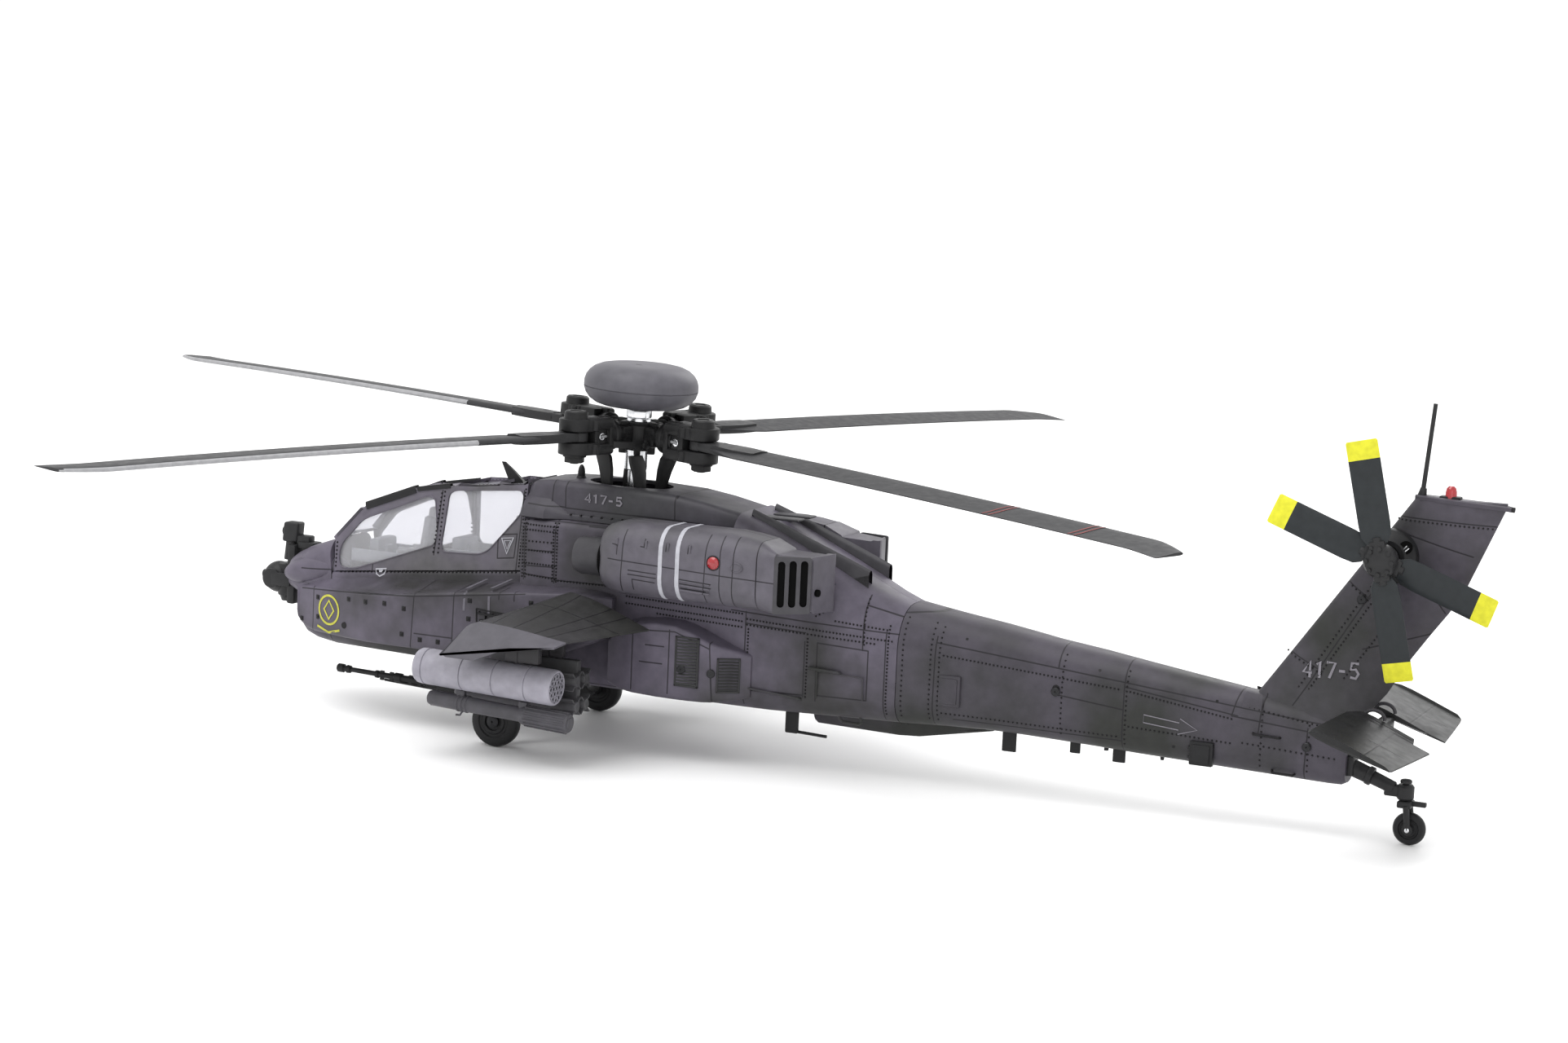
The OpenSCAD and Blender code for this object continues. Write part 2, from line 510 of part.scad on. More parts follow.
module swashplate_lower() color("#9a9ca1") shaft_frame() {
    difference() {
        union() {
            translate([0, 0, swash_z]) cylinder(r = swash_r, h = 2.2);
            for (y = [-rod_y, rod_y]) translate([horn_x + horn_l - 1, y - 1, swash_z]) cube([14, 2, 2.2]);
        }
        translate([0, 0, swash_z - 1]) cylinder(r = shaft_r + 0.5, h = 5);
    }
    // push rods from the servo horns
    for (y = [-rod_y, rod_y]) translate([horn_x + horn_l, y, horn_z + 2.6])
        cylinder(r = 0.8, h = swash_z - horn_z - 2.5);
}
module swashplate_upper() color("#b7b9bd") shaft_frame() translate([0, 0, swash_z + 2.6])
    linear_extrude(2.2) difference() {
        union() {
            circle(r = swash_r - 1);
            for (k = [0:3]) rotate([0, 0, rotor_turn + blade_turns[k]]) {
                translate([link_x, link_y]) circle(r = 1.2);
                translate([link_x - 0.8, 4]) square([1.6, link_y - 4]);
            }
        }
        circle(r = shaft_r + fit);
    }
module pitch_links() color(plastic_black) for (k = [0:3]) arm_frame(k)
    translate([link_x, link_y, swash_z + 4.85]) cylinder(r = 0.9, h = 16.3);

// ---------- rotor head ----------
spindle_r = 1.5;
grip_in = 13.2;
module rotor_hub() color(plastic_black) {
    shaft_frame() difference() {
        union() {
            translate([0, 0, -5]) cylinder(r = 6.5, h = 9);
            for (k = [0:3]) rotate([0, 0, rotor_turn + blade_turns[k]]) rotate([0, 90, 0])
                cylinder(r = 3.2, h = grip_in - 0.4);
        }
        translate([0, 0, -6]) cylinder(r = shaft_r + 0.02, h = 9.2);
        for (k = [0:3]) rotate([0, 0, rotor_turn + blade_turns[k]]) translate([8, 0, 0])
            rotate([0, 90, 0]) cylinder(r = spindle_r + 0.02, h = 8);
    }
    for (k = [0:3]) arm_frame(k) translate([8.1, 0, 0]) rotate([0, 90, 0])
        cylinder(r = spindle_r, h = 15.9);
}
lug_r = 5.6;
lug_z = 6.2;
slot_z = 1.7;
module blade_grip(k) color(plastic_black) grip_frame(k) {
    difference() {
        union() {
            translate([grip_in, 0, 0]) rotate([0, 90, 0]) cylinder(r = 5, h = 8);
            translate([18, -5.5, -lug_z]) cube([7.5, 11, 2 * lug_z]);
            for (z = [-lug_z, slot_z]) translate([0, 0, z]) linear_extrude(lug_z - slot_z) {
                translate([bolt_r, 0]) circle(r = lug_r);
                translate([25, -lug_r]) square([bolt_r - 25, 2 * lug_r]);
            }
            translate([bolt_r, 0, lug_z]) cylinder(r = 3.8, h = 2.6);
            translate([bolt_r, 0, -lug_z - 2.8]) cylinder(r = 3.6, h = 2.8, $fn = 6);
            // pitch arm down to the ball of the pitch link
            hull() {
                translate([15.5, 4, -2.5]) sphere(r = 1.6, $fn = 20);
                translate([link_x, 8, -3.5]) sphere(r = 1.3, $fn = 20);
            }
        }
        translate([grip_in - 1, 0, 0]) rotate([0, 90, 0]) cylinder(r = spindle_r + fit, h = 12.2);
        translate([bolt_r, 0, -12]) cylinder(r = 1.52, h = 24);
    }
    translate([bolt_r, 0, -lug_z - 3]) cylinder(r = 1.5, h = 2 * lug_z + 6);
}
module blade_grip_a() blade_grip(0);
module blade_grip_b() blade_grip(1);
module blade_grip_c() blade_grip(2);
module blade_grip_d() blade_grip(3);

// Blade section at x: chord c, thickness t, swept back by s; the leading edge is on +Y
function blade_drop(x) = -blade_sag * pow((x - bolt_r) / (rotor_r - bolt_r), 2);
function blade_ring(x, c, t, s) = let (z = blade_drop(x), lead = 0.34 * c - s) [
    [x, lead, z], [x, lead - 0.08 * c, z - 0.38 * t], [x, lead - 0.35 * c, z - 0.4 * t],
    [x, lead - c, z - 0.15], [x, lead - c, z + 0.15], [x, lead - 0.6 * c, z + 0.42 * t],
    [x, lead - 0.3 * c, z + 0.6 * t], [x, lead - 0.08 * c, z + 0.45 * t]];
tip_l = 15;
module main_blade(k) color("#56585c") grip_frame(k)
    translate([bolt_r, 0, 0]) rotate([0, 0, blade_lags[k]]) translate([-bolt_r, 0, 0]) {
        difference() {
            translate([0, 0, -slot_z + 0.1]) linear_extrude(2 * slot_z - 0.2) {
                translate([bolt_r, 0]) circle(r = 4.4);
                translate([bolt_r, -4]) square([10, 8]);
            }
            translate([bolt_r, 0, -5]) cylinder(r = 1.5 + fit, h = 10);
        }
        loft(concat([blade_ring(bolt_r + 8, 8, 3, -1.2), blade_ring(bolt_r + 14, 11, 2.6, -0.6)],
            [for (i = [0:6]) blade_ring(bolt_r + 26 + i * (rotor_r - tip_l - bolt_r - 26) / 6,
                blade_chord, 2 - 0.06 * i, 0)],
            [blade_ring(rotor_r, blade_chord - 3, 1.2, 5.5)]));
    }
module main_blade_a() main_blade(0);
module main_blade_b() main_blade(1);
module main_blade_c() main_blade(2);
module main_blade_d() main_blade(3);

radome_z = 9.2;
module radome_post() color("#c9ccd0") shaft_frame() {
    translate([0, 0, 4.05]) cylinder(r = 3, h = radome_z - 4.1);
    translate([0, 0, 5.2]) cylinder(r = 4.2, h = 2.4, $fn = 6);
}
module radome() color("#4a4b4f") shaft_frame() translate([0, 0, radome_z]) rotate_extrude($fn = 64) polygon([
    [0, 0], [13, 0], [17, 1.2], [19.4, 3.6], [radome_r, 6.2], [radome_r, 8], [19.4, 11],
    [17, 13.4], [12.6, 14.6], [0, 14.9]]);

// ---------- tail rotor ----------
module tail_motor() color("#8d8f94") on_mast() translate(tail_hub) rotate([-90, 0, 0]) difference() {
    translate([0, 0, -tail_hub[1] - 4.6]) cylinder(r = 5.4, h = 9.2);
    translate([0, 0, -tail_hub[1] - 5]) cylinder(r = 1 + fit, h = 4);
}
module tail_blade(turn, y) rotate([0, -turn, 0]) translate([0, y, 0]) rotate([12, 0, 0])
    translate([3.6, -0.6, -tail_blade_chord / 2]) cube([tail_rotor_r - 3.6, 1.2, tail_blade_chord]);
module tail_rotor() color(plastic_black) on_mast() translate(tail_hub) {
    rotate([-90, 0, 0]) {
        translate([0, 0, -3]) cylinder(r = 4.6, h = 6.5);
        cylinder(r = 1, h = 13);
    }
    for (side = [0, 180]) {
        tail_blade(tail_pair_a + side, -1.1);
        tail_blade(tail_pair_a + scissor_angle + side, 1.4);
    }
}

// ---------- small fittings ----------
module signal_lights() color("#c22530") on_mast() {
    translate([286, 0, 112.3]) cylinder(r = 1.7, h = 2.6);
    translate([286, 0, 114.9]) sphere(r = 1.7);
    for (y = [-38.1, 38.1]) translate([47, y, 72.4]) rotate([y > 0 ? -90 : 90, 0, 0])
        cylinder(r = 2.1, h = 1);
    translate([-21.5, 0, 91.2]) cylinder(r = 1.3, h = 3.4);
}
module rod_antenna() color(plastic_black) on_mast() translate([276.8, 0, 112.9]) rotate([0, 4.5, 0])
    cylinder(r = 0.8, h = 29.2);
module belly_fittings() color(skin_dark) on_mast() {
    // keel fairing, aerial blades, foot step and marker box
    loft([cut_box(73, -4, 4, 19, 20, 0.3), cut_box(103.8, -3.5, 3.5, 15, 20, 0.8)]);
    loft([cut_box(109, -3.5, 3.5, 15, 20.2, 0.8), cut_box(136, -2.5, 2.5, 19.8, 20.6, 0.3)]);
    translate([64, -6, 11]) cube([4, 1.6, 8.8]);
    translate([68, -6, 11]) cube([11, 1.4, 1.2]);
    translate([141, -0.8, 13.5]) cube([5, 1.6, 7]);
    translate([165, -0.7, 15]) cube([4, 1.4, 4.8]);
    translate([180, -0.7, 14.5]) cube([5, 1.4, 4.6]);
    translate([209, -10.6, 19]) cube([8, 1, 8]);
    translate([-49, -0.8, 88.5]) rotate([0, -35, 0]) cube([3.5, 1.6, 7]);
}
// Heads of the screws that hold the left side: rear bay, boom twice, fin
screw_sites = [[34, -28.7, 33], [163, -12.3, 38], [247, -7.3, 29], [260.5, -fin_t / 2 - 0.2, 78]];
module body_screws() color("#2c2c2e") on_mast() for (site = screw_sites)
    translate(site) rotate([90, 0, 0]) cylinder(r = 1.4, h = 0.8);

fuselage_left();
fuselage_right();
tail_boom_left();
tail_boom_right();
nose_sensor_turret();
canopy_frame();
canopy_glass();
cockpit_tub();
avionics_bay_left();
avionics_bay_right();
rotor_pylon_cover();
engine_cowl_left();
engine_cowl_right();
exhaust_left();
exhaust_right();
stub_wing_left();
stub_wing_right();
rocket_pod_left();
rocket_pod_right();
missile_rack_left();
missile_rack_right();
chain_gun();
gear_leg_left();
gear_leg_right();
main_wheel_left();
main_wheel_right();
tail_gear_arm();
tail_fork();
tail_wheel();
stabilator();
chassis_frame();
shaft_bearings();
battery_pack();
circuit_board();
main_motor();
motor_pinion();
main_gear();
main_shaft();
swash_servos();
servo_horns();
swashplate_lower();
swashplate_upper();
pitch_links();
rotor_hub();
blade_grip_a();
blade_grip_b();
blade_grip_c();
blade_grip_d();
main_blade_a();
main_blade_b();
main_blade_c();
main_blade_d();
radome_post();
radome();
tail_motor();
tail_rotor();
signal_lights();
rod_antenna();
belly_fittings();
body_screws();
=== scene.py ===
import json
import math

import bmesh
import bpy
from mathutils import Matrix, Vector
from mathutils.bvhtree import BVHTree


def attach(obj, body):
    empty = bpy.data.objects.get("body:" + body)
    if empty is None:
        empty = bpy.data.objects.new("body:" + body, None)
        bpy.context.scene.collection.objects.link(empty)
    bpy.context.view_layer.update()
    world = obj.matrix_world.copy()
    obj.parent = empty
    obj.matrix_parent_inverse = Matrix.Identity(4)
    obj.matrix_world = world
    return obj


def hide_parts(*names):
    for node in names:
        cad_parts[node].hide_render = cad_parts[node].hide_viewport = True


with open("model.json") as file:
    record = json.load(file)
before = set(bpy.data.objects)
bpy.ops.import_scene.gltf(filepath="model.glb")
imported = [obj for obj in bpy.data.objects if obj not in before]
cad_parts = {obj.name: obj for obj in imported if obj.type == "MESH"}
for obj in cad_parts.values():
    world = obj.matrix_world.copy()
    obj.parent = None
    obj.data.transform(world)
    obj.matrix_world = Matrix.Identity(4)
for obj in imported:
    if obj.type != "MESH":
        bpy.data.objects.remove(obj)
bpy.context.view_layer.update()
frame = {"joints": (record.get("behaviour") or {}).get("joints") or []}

# ---------------------------------------------------------------- camera and stage
# A long lens looks at the helicopter's left side from a little behind and a little above.
# The floor is one pale sheet, and three soft boxes and a pale room light it.
view_azimuth = math.radians(23.71)
view_elevation = math.radians(7.83)
view_roll = math.radians(2.58)
view_target = Vector((0.0190, 0, 0.08305))
view_distance = 1.14057
lens_mm = 76.22
back = Vector((math.sin(view_azimuth) * math.cos(view_elevation),
               -math.cos(view_azimuth) * math.cos(view_elevation), math.sin(view_elevation)))
level_right = Vector((math.cos(view_azimuth), math.sin(view_azimuth), 0))
level_up = back.cross(level_right)
right = math.cos(view_roll) * level_right + math.sin(view_roll) * level_up
up = math.cos(view_roll) * level_up - math.sin(view_roll) * level_right
camera_data = bpy.data.cameras.new("camera")
camera_data.lens = lens_mm
camera_data.sensor_width = 36
camera_data.clip_start = 0.01
camera = bpy.data.objects.new("camera", camera_data)
camera.matrix_world = Matrix.Translation(view_target + back * view_distance) @ Matrix(
    (right, up, back)).transposed().to_4x4()
bpy.context.scene.collection.objects.link(camera)
bpy.context.scene.camera = camera


def wire(tree, kind, sockets=None, **settings):
    """Adds a shader node, sets its settings, and links or sets the sockets named."""
    made = tree.nodes.new(kind)
    for key, value in settings.items():
        setattr(made, key, value)
    for key, value in (sockets or {}).items():
        if isinstance(value, bpy.types.NodeSocket):
            tree.links.new(value, made.inputs[key])
        else:
            made.inputs[key].default_value = value
    return made


def finish_of(name, sockets):
    """A new material with one Principled shader; sockets are its plain values."""
    made = bpy.data.materials.new(name)
    made.use_nodes = True
    shader = made.node_tree.nodes["Principled BSDF"]
    for key, value in sockets.items():
        shader.inputs[key].default_value = value
    return made, made.node_tree, shader


floor_paint, tree, shader = finish_of("floor_paint", {"Roughness": 0.6})
spot = wire(tree, "ShaderNodeTexCoord").outputs["Object"]
cloud = wire(tree, "ShaderNodeTexNoise", {"Vector": spot, "Scale": 3.0, "Detail": 3.0})
tint = wire(tree, "ShaderNodeMix", {"Factor": cloud.outputs["Fac"], "A": (0.93, 0.93, 0.93, 1),
            "B": (0.96, 0.96, 0.96, 1)}, data_type="RGBA")
tree.links.new(tint.outputs["Result"], shader.inputs["Base Color"])
bm = bmesh.new()
bmesh.ops.create_grid(bm, x_segments=4, y_segments=4, size=7)
mesh = bpy.data.meshes.new("floor")
bm.to_mesh(mesh)
bm.free()
mesh.materials.append(floor_paint)
floor = bpy.data.objects.new("floor", mesh)
bpy.context.scene.collection.objects.link(floor)

world = bpy.data.worlds.new("room")
world.use_nodes = True
world.node_tree.nodes["Background"].inputs["Color"].default_value = (1, 1, 1, 1)
world.node_tree.nodes["Background"].inputs["Strength"].default_value = 1.08
bpy.context.scene.world = world
bpy.context.scene.view_settings.view_transform = "Standard"
soft_boxes = {"key": ((-0.3, -0.5, 1.5), 1.2, 16), "fill": ((0.9, -1.3, 0.6), 1, 2),
              "rim": ((0.2, 1.3, 0.9), 0.9, 6)}
for name, (place, size, power) in soft_boxes.items():
    lamp = bpy.data.lights.new(name, "AREA")
    lamp.size = size
    lamp.energy = power
    holder = bpy.data.objects.new(name, lamp)
    holder.matrix_world = Matrix.Translation(place) @ (
        Vector((0, 0, 0.06)) - Vector(place)).to_track_quat("-Z", "Y").to_matrix().to_4x4()
    bpy.context.scene.collection.objects.link(holder)

# ---------------------------------------------------------------- fuselage
# Two moulded shells of painted plastic, left and right, meet along the keel. They carry the
# nose under the sensors, the cockpit walls up to the canopy sill, and the hump behind the mast.
joints = {joint["name"]: joint for joint in frame["joints"]}
mast = Vector(joints["main_rotor_spin"]["pos_m"])
to_part = Matrix.Translation((mast.x, 0, 0)) @ Matrix.Scale(0.001, 4)
hub_z = mast.z * 1000
sides = {"left": -1, "right": 1}
sill_slope = 0.104


def sill(x):
    """Height of the canopy sill."""
    return 50 + sill_slope * (x + 113)


def lay(bm, rows, closed=False):
    """Lays a grid over rows of points. A closed one joins each row's end to its start."""
    if closed:
        rows = [row + row[:1] for row in rows]
    across = len(rows[0]) - 1
    along = len(rows) - 1
    made = bmesh.ops.create_grid(bm, x_segments=across, y_segments=along, size=1)["verts"]
    for vertex in made:
        column = round((vertex.co.x + 1) / 2 * across)
        row = round((vertex.co.y + 1) / 2 * along)
        vertex.co = rows[row][column]
    bmesh.ops.remove_doubles(bm, verts=made, dist=0.002)
    return [vertex for vertex in made if vertex.is_valid]


def cap(bm):
    """Closes every open end."""
    bmesh.ops.holes_fill(bm, edges=[edge for edge in bm.edges if edge.is_boundary], sides=0)


def corner(middle_y, middle_z, radius, start, steps=6):
    """Points of a quarter circle that starts at an angle in degrees."""
    angles = [math.radians(start + 90 * i / steps) for i in range(steps + 1)]
    return [(middle_y + radius * math.cos(a), middle_z + radius * math.sin(a)) for a in angles]


def half_ring(x, half_w, bottom, top, low_r, high_r):
    """Half outline of the body at x, from keel round the right side to the top middle."""
    points = [(0, bottom)] + corner(half_w - low_r, bottom + low_r, low_r, 270)
    points += corner(half_w - high_r, top - high_r, high_r, 0) + [(0, top)]
    return [Vector((x, y, z)) for y, z in points]


def mirrored(bm, side):
    """Turns a right-hand piece into a left-hand one where side is -1."""
    if side < 0:
        bmesh.ops.scale(bm, vec=(1, -1, 1), verts=bm.verts)


def piece(name, bm, material, body="airframe", nodes=(), place=None, sharp=32, wall=0):
    """Turns a mesh in millimetres into a finished piece that rides on a body."""
    bmesh.ops.recalc_face_normals(bm, faces=bm.faces)
    if wall:
        bmesh.ops.solidify(bm, geom=bm.faces, thickness=wall)
        bmesh.ops.recalc_face_normals(bm, faces=bm.faces)
    bm.transform(to_part @ (place or Matrix.Identity(4)))
    for face in bm.faces:
        face.smooth = True
    for edge in bm.edges:
        edge.smooth = edge.calc_face_angle(0) < math.radians(sharp)
    mesh = bpy.data.meshes.new(name)
    bm.to_mesh(mesh)
    bm.free()
    for finish in material if isinstance(material, list) else [material]:
        mesh.materials.append(finish)
    made = bpy.data.objects.new(name, mesh)
    bpy.context.scene.collection.objects.link(made)
    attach(made, body)
    if nodes:
        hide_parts(*nodes)
    return made


def group_of(name, inputs, outputs):
    """A new shader node group and its two end nodes."""
    group = bpy.data.node_groups.new(name, "ShaderNodeTree")
    for key, kind in inputs.items():
        group.interface.new_socket(key, in_out="INPUT", socket_type=kind)
    for key, kind in outputs.items():
        group.interface.new_socket(key, in_out="OUTPUT", socket_type=kind)
    return group, group.nodes.new("NodeGroupInput").outputs, group.nodes.new("NodeGroupOutput").inputs


finish_outputs = {"Color": "NodeSocketColor", "Roughness": "NodeSocketFloat", "Height": "NodeSocketFloat"}
# Airbrushed paint: two tones in soft patches, fine mottling, and a faint grain under it
airbrush, given, out = group_of(
    "airbrush", {"Place": "NodeSocketVector", "Tone": "NodeSocketColor", "Patch": "NodeSocketColor"},
    finish_outputs)
clouds = wire(airbrush, "ShaderNodeTexNoise", {"Vector": given["Place"], "Scale": 21.0, "Detail": 4.0,
              "Roughness": 0.5})
patches = wire(airbrush, "ShaderNodeMapRange", {"Value": clouds.outputs["Fac"], "From Min": 0.42,
               "From Max": 0.62})
base = wire(airbrush, "ShaderNodeMix", {"Factor": patches.outputs["Result"], "A": given["Tone"],
            "B": given["Patch"]}, data_type="RGBA")
mottle = wire(airbrush, "ShaderNodeTexNoise", {"Vector": given["Place"], "Scale": 260.0,
              "Detail": 5.0})
shade = wire(airbrush, "ShaderNodeMapRange", {"Value": mottle.outputs["Fac"], "From Min": 0.3,
             "From Max": 0.7, "To Min": 0.86, "To Max": 1.1})
speckled = wire(airbrush, "ShaderNodeMix", {"Factor": 1.0, "A": base.outputs["Result"],
                "B": shade.outputs["Result"]}, data_type="RGBA", blend_type="MULTIPLY")
gloss = wire(airbrush, "ShaderNodeMapRange", {"Value": mottle.outputs["Fac"], "From Min": 0.3,
             "From Max": 0.7, "To Min": 0.4, "To Max": 0.52})
grain = wire(airbrush, "ShaderNodeTexNoise", {"Vector": given["Place"], "Scale": 2600.0,
             "Detail": 2.0})
airbrush.links.new(speckled.outputs["Result"], out["Color"])
airbrush.links.new(gloss.outputs["Result"], out["Roughness"])
airbrush.links.new(grain.outputs["Fac"], out["Height"])

# Engraved seam: how near a point is to the line between two points, seen from the side or the top
seam, given, out = group_of(
    "seam", {"Place": "NodeSocketVector", "From": "NodeSocketVector", "To": "NodeSocketVector",
             "Flatten": "NodeSocketVector", "Width": "NodeSocketFloat"},
    {"Line": "NodeSocketFloat"})


def vector_step(tree, operation, *sockets):
    """One vector math node; returns its vector output."""
    return wire(tree, "ShaderNodeVectorMath", dict(enumerate(sockets)), operation=operation)


flat = vector_step(seam, "MULTIPLY", given["Place"], given["Flatten"]).outputs["Vector"]
run = vector_step(seam, "SUBTRACT", given["To"], given["From"]).outputs["Vector"]
reach = vector_step(seam, "SUBTRACT", flat, given["From"]).outputs["Vector"]
dot = vector_step(seam, "DOT_PRODUCT", reach, run).outputs["Value"]
square = vector_step(seam, "DOT_PRODUCT", run, run).outputs["Value"]
share = wire(seam, "ShaderNodeMath", {0: dot, 1: square}, operation="DIVIDE", use_clamp=True)
foot = wire(seam, "ShaderNodeVectorMath", {0: run, "Scale": share.outputs[0]}, operation="SCALE")
miss = vector_step(seam, "DISTANCE", reach, foot.outputs["Vector"]).outputs["Value"]
line = wire(seam, "ShaderNodeMapRange", {"Value": miss, "From Min": 0.0, "From Max": given["Width"],
            "To Min": 1.0, "To Max": 0.0})
seam.links.new(line.outputs["Result"], out["Line"])

side_on = (1, 0, 1)
from_top = (1, 1, 0)


def painted(name, tone, patch, seams=(), roof_seams=(), width=0.42, dark=(0.012, 0.011, 0.013, 1)):
    """Airbrushed plastic with dark engraved seams. Seams are x0, z0, x1, z1, roof seams x0, y0, x1, y1."""
    made, tree, shader = finish_of(name, {"Specular IOR Level": 0.22})
    spot = wire(tree, "ShaderNodeTexCoord").outputs["Object"]
    spray = wire(tree, "ShaderNodeGroup", {}, node_tree=airbrush)
    tree.links.new(spot, spray.inputs["Place"])
    spray.inputs["Tone"].default_value = tone
    spray.inputs["Patch"].default_value = patch
    colour = spray.outputs["Color"]
    height = spray.outputs["Height"]
    found = None
    for flatten, group in ((side_on, seams), (from_top, roof_seams)):
        for a, b, c, d in group:
            start = to_part @ Vector((a, b, b))
            end = to_part @ Vector((c, d, d))
            mask = wire(tree, "ShaderNodeGroup", {}, node_tree=seam)
            tree.links.new(spot, mask.inputs["Place"])
            mask.inputs["Flatten"].default_value = flatten
            mask.inputs["From"].default_value = [s * f for s, f in zip(start, flatten)]
            mask.inputs["To"].default_value = [s * f for s, f in zip(end, flatten)]
            mask.inputs["Width"].default_value = width / 1000
            if found is None:
                found = mask.outputs["Line"]
            else:
                found = wire(tree, "ShaderNodeMath", {0: found, 1: mask.outputs["Line"]},
                             operation="MAXIMUM").outputs[0]
    if found is not None:
        ink = wire(tree, "ShaderNodeMapRange", {"Value": found, "From Min": 0.25, "From Max": 0.7,
                   "To Max": 0.9})
        colour = wire(tree, "ShaderNodeMix", {"Factor": ink.outputs["Result"], "A": colour, "B": dark},
                      data_type="RGBA").outputs["Result"]
        depth = wire(tree, "ShaderNodeMath", {0: found, 1: -6.0, 2: height}, operation="MULTIPLY_ADD")
        height = depth.outputs[0]
    relief = wire(tree, "ShaderNodeBump", {"Height": height, "Strength": 0.35, "Distance": 0.00004})
    tree.links.new(colour, shader.inputs["Base Color"])
    tree.links.new(spray.outputs["Roughness"], shader.inputs["Roughness"])
    tree.links.new(relief.outputs["Normal"], shader.inputs["Normal"])
    return made


purple_grey = (0.1, 0.089, 0.117, 1)
green_grey = (0.034, 0.033, 0.034, 1)
body_stations = [(-138.6, 1.5, 45, 47.5, 1, 1), (-138, 5, 42.8, 49.8, 2.4, 3),
                 (-136, 8.4, 41.2, 52, 3.4, 4.6), (-132.5, 10.6, 40.2, 54.4, 4, 6),
                 (-128.9, 11.6, 39, 56.2, 4, 6.6), (-128.6, 11.8, 33, 56.3, 3, 6.6),
                 (-127.6, 12.8, 28.6, 56.8, 3.6, 6.8), (-125, 13.8, 25.8, 57.8, 4.6, 7),
                 (-121, 14.4, 24.3, 59.2, 5, 7), (-116, 14.7, 23.4, 61, 5.6, 6.6),
                 (-114.6, 14.8, 23.2, 61.5, 6, 6.2), (-113.7, 15, 23, sill(-113.7), 6, 1.6),
                 (-95, 15, 22.4, sill(-95), 6, 1.6), (-75, 15, 21.8, sill(-75), 6, 1.6),
                 (-55, 15, 21.3, sill(-55), 6, 1.6), (-36.5, 15, 21, sill(-36.5), 6, 1.6),
                 (-35.8, 16.5, 21, 74, 6, 3), (-34.6, 18.4, 21, 78, 6, 4), (-31, 19.7, 20.8, 78, 6, 4),
                 (-25, 20, 20.8, 78, 6, 4), (0, 20, 20.4, 78, 6, 4), (30, 20, 20.1, 78, 6, 4),
                 (46.4, 20, 20, 78, 6, 4), (47, 20, 20, 86.6, 6, 9), (54, 20, 20, 84.2, 6, 10),
                 (62, 20, 20, 81, 6.2, 11), (72, 19.7, 20.1, 76.4, 7, 12), (82, 19.2, 20.2, 72, 7.6, 13),
                 (93, 18.3, 20.3, 67, 8, 14), (101, 17.6, 20.3, 63.2, 8.6, 14),
                 (108, 17, 20.3, 60.5, 9, 14)]
fuselage_seams = [(-127, 44, -113.5, 44.5), (-113.6, 22, -113.6, 60), (-126, 50, -114, 50.5),
                  (-33, 58, -20.5, 57.6), (-33, 76, -33, 56), (-20.5, 78, -20.5, 56),
                  (-33, 66.5, -20.5, 67), (-33, 61, -20.5, 61.5), (-20.5, 57, 8, 57.4), (-8, 77, 3, 77),
                  (48, 54, 108, 51.5), (53.5, 54, 53.5, 22), (75.5, 46, 75.5, 27), (53.5, 50, 75.5, 49),
                  (53.5, 27, 75.5, 27.5), (80, 46, 98, 45), (80, 46, 80, 26), (98, 45, 98, 28),
                  (80, 28, 98, 28), (96, 63, 96, 45), (96, 60, 108, 57), (104, 52, 104, 22),
                  (48, 80, 60, 70), (60, 70, 84, 66)]
fuselage_paint = painted("fuselage_paint", purple_grey, green_grey, fuselage_seams,
                         [(-30, -18, 44, -18), (-30, 18, 44, 18)])
skins = {}


def skin_of(bm):
    """A search tree of a mesh's faces, for setting small parts on its surface."""
    return BVHTree.FromBMesh(bm)


for name, side in sides.items():
    bm = bmesh.new()
    lay(bm, [half_ring(*station) for station in body_stations])
    # cheek fairing beside the nose
    cheek = bmesh.ops.create_uvsphere(bm, u_segments=24, v_segments=16, radius=1)["verts"]
    bmesh.ops.scale(bm, vec=(14, 5.6, 5.2), verts=cheek)
    bmesh.ops.rotate(bm, matrix=Matrix.Rotation(math.radians(-12), 3, "Y"), verts=cheek)
    bmesh.ops.translate(bm, vec=(-122.5, 10.2, 49.4), verts=cheek)
    bmesh.ops.translate(bm, vec=(0, 0.05, 0), verts=bm.verts)
    mirrored(bm, side)
    skins["fuselage_" + name] = skin_of(bm)
    piece("shell_" + name, bm, fuselage_paint, nodes=["fuselage_" + name])

# ---------------------------------------------------------------- canopy frame
# One moulding with window openings, held by screws along the sill. It is swept from a flat
# outline: each side leans inwards and the roof strip follows the outline's top edge.
canopy_paint = painted("canopy_paint", (0.118, 0.106, 0.136, 1), (0.09, 0.087, 0.092, 1), [
    (-111, 48.7, -37, 56.6), (-72.3, 60, -70.9, 83), (-46.4, 61.4, -39.8, 62.2), (-46.4, 61.4, -46.9, 69.6),
    (-46.9, 69.6, -39.4, 70.6), (-39.8, 62.2, -39.4, 70.6), (-38.6, 58, -38, 86), (-97, 50.4, -97, 54)])
roof_line = [(-112.8, 50.3), (-113.5, 61.5), (-102.5, 74), (-81, 82.4), (-66, 85), (-36.8, 88.6)]
front_window = [(-110.8, 51.6), (-104.2, 51.8), (-72.4, 63.4), (-71.4, 67), (-73.6, 79.8), (-76.4, 80.8),
                (-102.8, 69.7), (-110.6, 60.6), (-111.6, 56.6)]
rear_window = [(-68.4, 61.4), (-54, 62), (-50.4, 63.6), (-38.3, 78), (-38, 84.4), (-39.4, 86), (-65.4, 83.6),
               (-68.3, 82.2), (-69.8, 63.4)]


